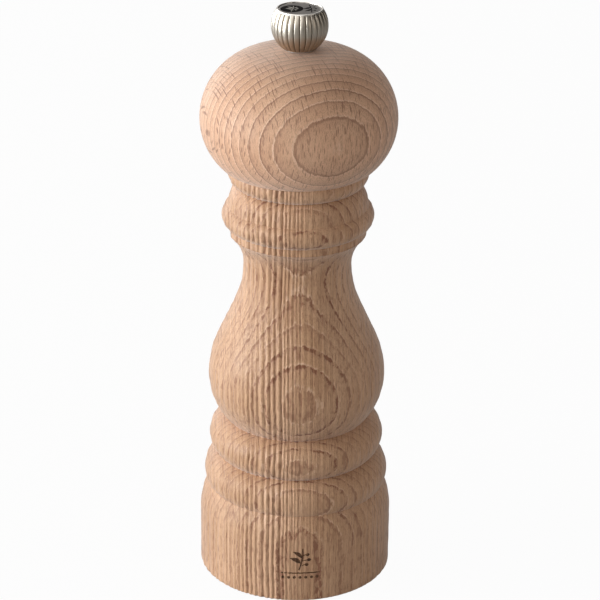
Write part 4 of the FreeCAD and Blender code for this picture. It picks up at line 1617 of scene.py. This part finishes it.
@dataclass
class Studio:
    """A plain pale floor, soft light from the left and a camera above the mill."""

    camera_place: Point3 = (0.0, -0.7288, 0.408)
    camera_pitch_deg: float = 23.71
    camera_yaw_deg: float = -0.068
    camera_roll_deg: float = 0.58
    lens_mm: float = 157.4
    sensor_mm: float = 36.0
    clip: tuple[float, float] = (0.01, 50.0)
    fill_strength: float = 0.48
    fill_colour: Colour = (1.0, 0.965, 0.930, 1.0)
    fill_below: float = 1.18
    fill_above: float = 0.55
    dim_right: float = 0.04
    bright_left: float = 1.6
    low_reflection: float = 0.14
    floor_half: float = 3.0
    floor_glow: float = 0.965
    floor_colour: Colour = (0.52, 0.52, 0.52, 1.0)
    white: Colour = (1.0, 1.0, 1.0, 1.0)
    lamps: tuple[Lamp, ...] = (
        Lamp("window_left", (-1.08, -0.28, 0.18), (0.0, 0.0, 0.09), (0.75, 0.75), 21.5, (0.945, 0.98, 1.0)),
        Lamp("window_behind", (-0.75, 0.70, 0.35), (0.0, 0.0, 0.09), (0.6, 0.6), 3.4, (0.97, 0.985, 1.0)),
        Lamp("pale_wall_right", (0.85, -0.55, 0.42), (0.0, 0.0, 0.13), (0.6, 0.6), 1.0, (1.0, 0.90, 0.80)),
    )

    def camera(self) -> bpy.types.Object:
        """Makes the camera and sets it as the scene's camera.

        Returns:
            The camera.
        """
        data = bpy.data.cameras.new("camera")
        data.lens = self.lens_mm
        data.sensor_width = self.sensor_mm
        data.clip_start, data.clip_end = self.clip
        camera = bpy.data.objects.new("camera", data)
        camera.location = self.camera_place
        pitch, yaw = math.radians(90 - self.camera_pitch_deg), math.radians(self.camera_yaw_deg)
        turn = Euler((pitch, 0.0, yaw), "XYZ")
        roll = Euler((0.0, 0.0, math.radians(self.camera_roll_deg)), "XYZ")
        camera.rotation_euler = (turn.to_matrix() @ roll.to_matrix()).to_euler()
        bpy.context.scene.collection.objects.link(camera)
        bpy.context.scene.camera = camera
        return camera

    def floor(self) -> bpy.types.Object:
        """Makes the pale floor, which looks nearly white so that shadows on it stay faint.

        Returns:
            The floor.
        """
        h = self.floor_half
        corners = np.array([[-h, -h, 0.0], [h, -h, 0.0], [h, h, 0.0], [-h, h, 0.0]])
        piece = mesh_object("floor", corners, [(0, 1, 2, 3)])
        material, bench, shader = new_material("pale_floor")
        shader.inputs["Base Color"].default_value = self.floor_colour
        shader.inputs["Roughness"].default_value = 0.9
        glow = bench.add("ShaderNodeEmission", None, Color=self.white, Strength=1.0)
        path = bench.add("ShaderNodeLightPath")
        share = bench.sum("MULTIPLY", path.outputs["Is Camera Ray"], self.floor_glow)
        mix = bench.add("ShaderNodeMixShader", None, Fac=share)
        bench.feed(mix.inputs[1], shader.outputs[0])
        bench.feed(mix.inputs[2], glow.outputs[0])
        output = next(node for node in material.node_tree.nodes if node.type == "OUTPUT_MATERIAL")
        bench.feed(output.inputs[0], mix.outputs[0])
        dress(piece, material)
        return piece

    def sky(self) -> None:
        """Sets the light of the room: white where the camera sees it, bright on the left in reflections."""
        world = bpy.data.worlds.new("room")
        world.use_nodes = True
        bpy.context.scene.world = world
        tree = world.node_tree
        tree.nodes.clear()
        bench = NodeBench(tree)
        path = bench.add("ShaderNodeLightPath")
        seen = bench.add("ShaderNodeBackground", None, Color=self.white, Strength=1.0)
        where = bench.add("ShaderNodeTexCoord")
        ways = bench.add("ShaderNodeSeparateXYZ", None, Vector=where.outputs["Generated"])
        side, up = ways.outputs[0], ways.outputs[2]
        mirrored = bench.span(side, -0.1, 0.5, self.bright_left, self.dim_right)
        mirrored = bench.sum("MULTIPLY", mirrored, bench.span(up, 0.0, 0.6, self.low_reflection, 1.0))
        even = bench.span(up, 0.0, 0.9, self.fill_below, self.fill_above)
        even = bench.sum("MULTIPLY", even, bench.sum("SUBTRACT", 1.0, path.outputs["Is Glossy Ray"]))
        strength = bench.sum("MULTIPLY_ADD", even, self.fill_strength,
                             bench.sum("MULTIPLY", mirrored, path.outputs["Is Glossy Ray"]))
        light = bench.add("ShaderNodeBackground", None, Color=self.fill_colour, Strength=strength)
        mix = bench.add("ShaderNodeMixShader", None, Fac=path.outputs["Is Camera Ray"])
        bench.feed(mix.inputs[1], light.outputs[0])
        bench.feed(mix.inputs[2], seen.outputs[0])
        output = bench.add("ShaderNodeOutputWorld")
        bench.feed(output.inputs[0], mix.outputs[0])

    def build(self) -> None:
        """Builds the floor, the light and the camera."""
        bpy.context.scene.view_settings.view_transform = "Standard"
        bpy.context.scene.view_settings.look = "None"
        self.floor()
        self.sky()
        for lamp in self.lamps:
            lamp.build()
        self.camera()


# ------------------------------------------------------------------ putting it together
@dataclass(frozen=True)
class MillFinishes:
    """All the mill's finishes."""

    wood: tuple[BeechFinish, ...] = (
        # the body's finish paints strong shade into the valleys of its raised grain
        BeechFinish("beech_body", ring_turn_deg=3.5, ring_spacing_mm=2.4, ring_start_mm=31.0,
                    ring_bow_mm=400.0, waver=0.24, step_mm=0.8, line_strength=1.0, line_break=0.86,
                    line_width=0.13, band=0.12,
                    ray_strength=0.62, ray_share=0.66, blotch_strength=0.9, fibre_strength=0.34,
                    ridge_strength=0.6, relief_mm=0.16, valley_shade_share=0.95, side_strength=0.50, sheen=0.40,
                    light_wood=(0.662, 0.413, 0.252, 1.0), warm_wood=(0.535, 0.312, 0.172, 1.0),
                    late_wood=(0.225, 0.084, 0.040, 1.0), pale_wood=(0.660, 0.425, 0.280, 1.0)),
        BeechFinish("beech_head", ring_turn_deg=20.0, ring_spacing_mm=2.45, ring_start_mm=29.42,
                    ring_bow_mm=-900.0, waver=0.22, step_mm=0.3, line_strength=0.64, line_break=0.12,
                    line_width=0.04, band=0.36, ray_strength=0.74, ray_share=0.78, blotch_strength=0.15,
                    fibre_strength=0.40, ridge_strength=0.0, relief_mm=0.18, sheen=0.36,
                    light_wood=(0.730, 0.452, 0.292, 1.0), warm_wood=(0.665, 0.388, 0.240, 1.0),
                    late_wood=(0.200, 0.080, 0.040, 1.0), pale_wood=(0.850, 0.600, 0.440, 1.0)),
    )
    metal: tuple[MetalFinish, ...] = (
        # the knob's finish paints strong shade into the grooves between its reeds
        MetalFinish("satin_nickel", (0.55, 0.505, 0.435, 1.0), 0.34, fineness=4.0, contrast=0.15,
                    unevenness=0.05, relief_mm=0.001, wear=0.2, hollow_shade=0.95, dust=0.04),
        MetalFinish("bright_nickel", (0.86, 0.84, 0.80, 1.0), 0.20, fineness=4.0, unevenness=0.04,
                    relief_mm=0.001, wear=0.2, dust=0.03),
        MetalFinish("spun_disc", (0.115, 0.108, 0.103, 1.0), 0.40, fineness=14.0, contrast=0.4,
                    unevenness=0.05, relief_mm=0.002, dust=0.05),
        MetalFinish("burr_steel", (0.30, 0.29, 0.28, 1.0), 0.42, fineness=8.0, contrast=0.5),
        MetalFinish("zinc_plate", (0.66, 0.67, 0.68, 1.0), 0.32, turned=False, fineness=7.0),
        MetalFinish("spring_steel", (0.52, 0.52, 0.53, 1.0), 0.28, fineness=9.0),
        MetalFinish("shaft_metal", (0.74, 0.74, 0.75, 1.0), 0.34, turned=False, fineness=10.0),
    )
    ink: tuple[InkFinish, ...] = (
        InkFinish("printed_patch", (0.012, 0.011, 0.011, 1.0), (0.030, 0.028, 0.027, 1.0), 0.75,
                  specular=0.02),
        InkFinish("pale_print", (0.42, 0.40, 0.36, 1.0), (0.30, 0.28, 0.25, 1.0), 0.5),
        InkFinish("burnt_line", (0.060, 0.028, 0.014, 1.0), (0.160, 0.080, 0.042, 1.0), 0.75),
    )

    def make(self) -> dict[str, bpy.types.Material]:
        """Makes every material, by name."""
        return {finish.name: finish.make() for finish in (*self.wood, *self.metal, *self.ink)}


CAD_FINISHES = {
    "burr_ring": "burr_steel",
    "burr_cone": "burr_steel",
    "ring_plate": "zinc_plate",
    "ring_plate_screws": "zinc_plate",
    "retaining_bridge": "zinc_plate",
    "retaining_bridge_screws": "zinc_plate",
    "spring_bridge": "zinc_plate",
    "spring_washer": "zinc_plate",
    "drive_shaft": "shaft_metal",
    "cone_washer": "zinc_plate",
    "cone_clip": "spring_steel",
    "drive_plate": "zinc_plate",
    "drive_plate_screws": "zinc_plate",
    "knob_washer": "zinc_plate",
    "knob_insert": "zinc_plate",
}


@dataclass(frozen=True)
class Placing:
    """Where one new piece belongs."""

    body: str
    finish: str
    slot: str
    replaces: tuple[str, ...] = ()


def settle(piece: bpy.types.Object, placing: Placing,
           finishes: dict[str, bpy.types.Material]) -> bpy.types.Object:
    """Dresses a piece and lets it ride on its body.

    Args:
        piece: The piece.
        placing: Its body, finish, slot and the nodes that it stands for.
        finishes: The materials by name.

    Returns:
        The piece.
    """
    dress(piece, finishes[placing.finish])
    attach(piece, placing.body)
    if placing.replaces:
        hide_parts(*placing.replaces)
    log.info("%s: %d faces", piece.name, len(piece.data.polygons))
    return piece


def main() -> None:
    """Builds the studio and every piece of the mill."""
    logging.basicConfig(level=logging.INFO, format="%(name)s %(message)s")
    Studio().build()
    finishes = MillFinishes().make()
    body, head, knob = WoodenBody(), WoodenHead(), Knob()
    settle(body.build(), Placing("body", "beech_body", "beech", ("wooden_body",)), finishes)
    settle(BurntMark(body).build(), Placing("body", "burnt_line", "beech"), finishes)
    settle(head.build(), Placing("head", "beech_head", "beech", ("wooden_head",)), finishes)
    settle(knob.build_shell(), Placing("knob", "satin_nickel", "satin_nickel", ("knob_shell",)), finishes)
    settle(knob.build_bezel(), Placing("knob", "bright_nickel", "bright_nickel", ("knob_bezel",)), finishes)
    settle(knob.build_disc(), Placing("knob", "spun_disc", "dark_disc", ("knob_disc",)), finishes)
    settle(knob.build_patch(), Placing("knob", "printed_patch", "dark_disc"), finishes)
    settle(knob.build_sign(), Placing("knob", "pale_print", "dark_disc"), finishes)
    settle(knob.build_leafwork(), Placing("knob", "printed_patch", "dark_disc"), finishes)
    spring = PressureSpring()
    coil = dress(spring.build(), finishes["spring_steel"])
    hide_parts("pressure_spring")
    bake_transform(coil)
    log.info("%s: %d faces", coil.name, len(coil.data.polygons))
    for node, finish in CAD_FINISHES.items():
        dress(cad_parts[node], finishes[finish])
        log.info("%s: dressed in %s", node, finish)


if __name__ == "__main__":
    main()
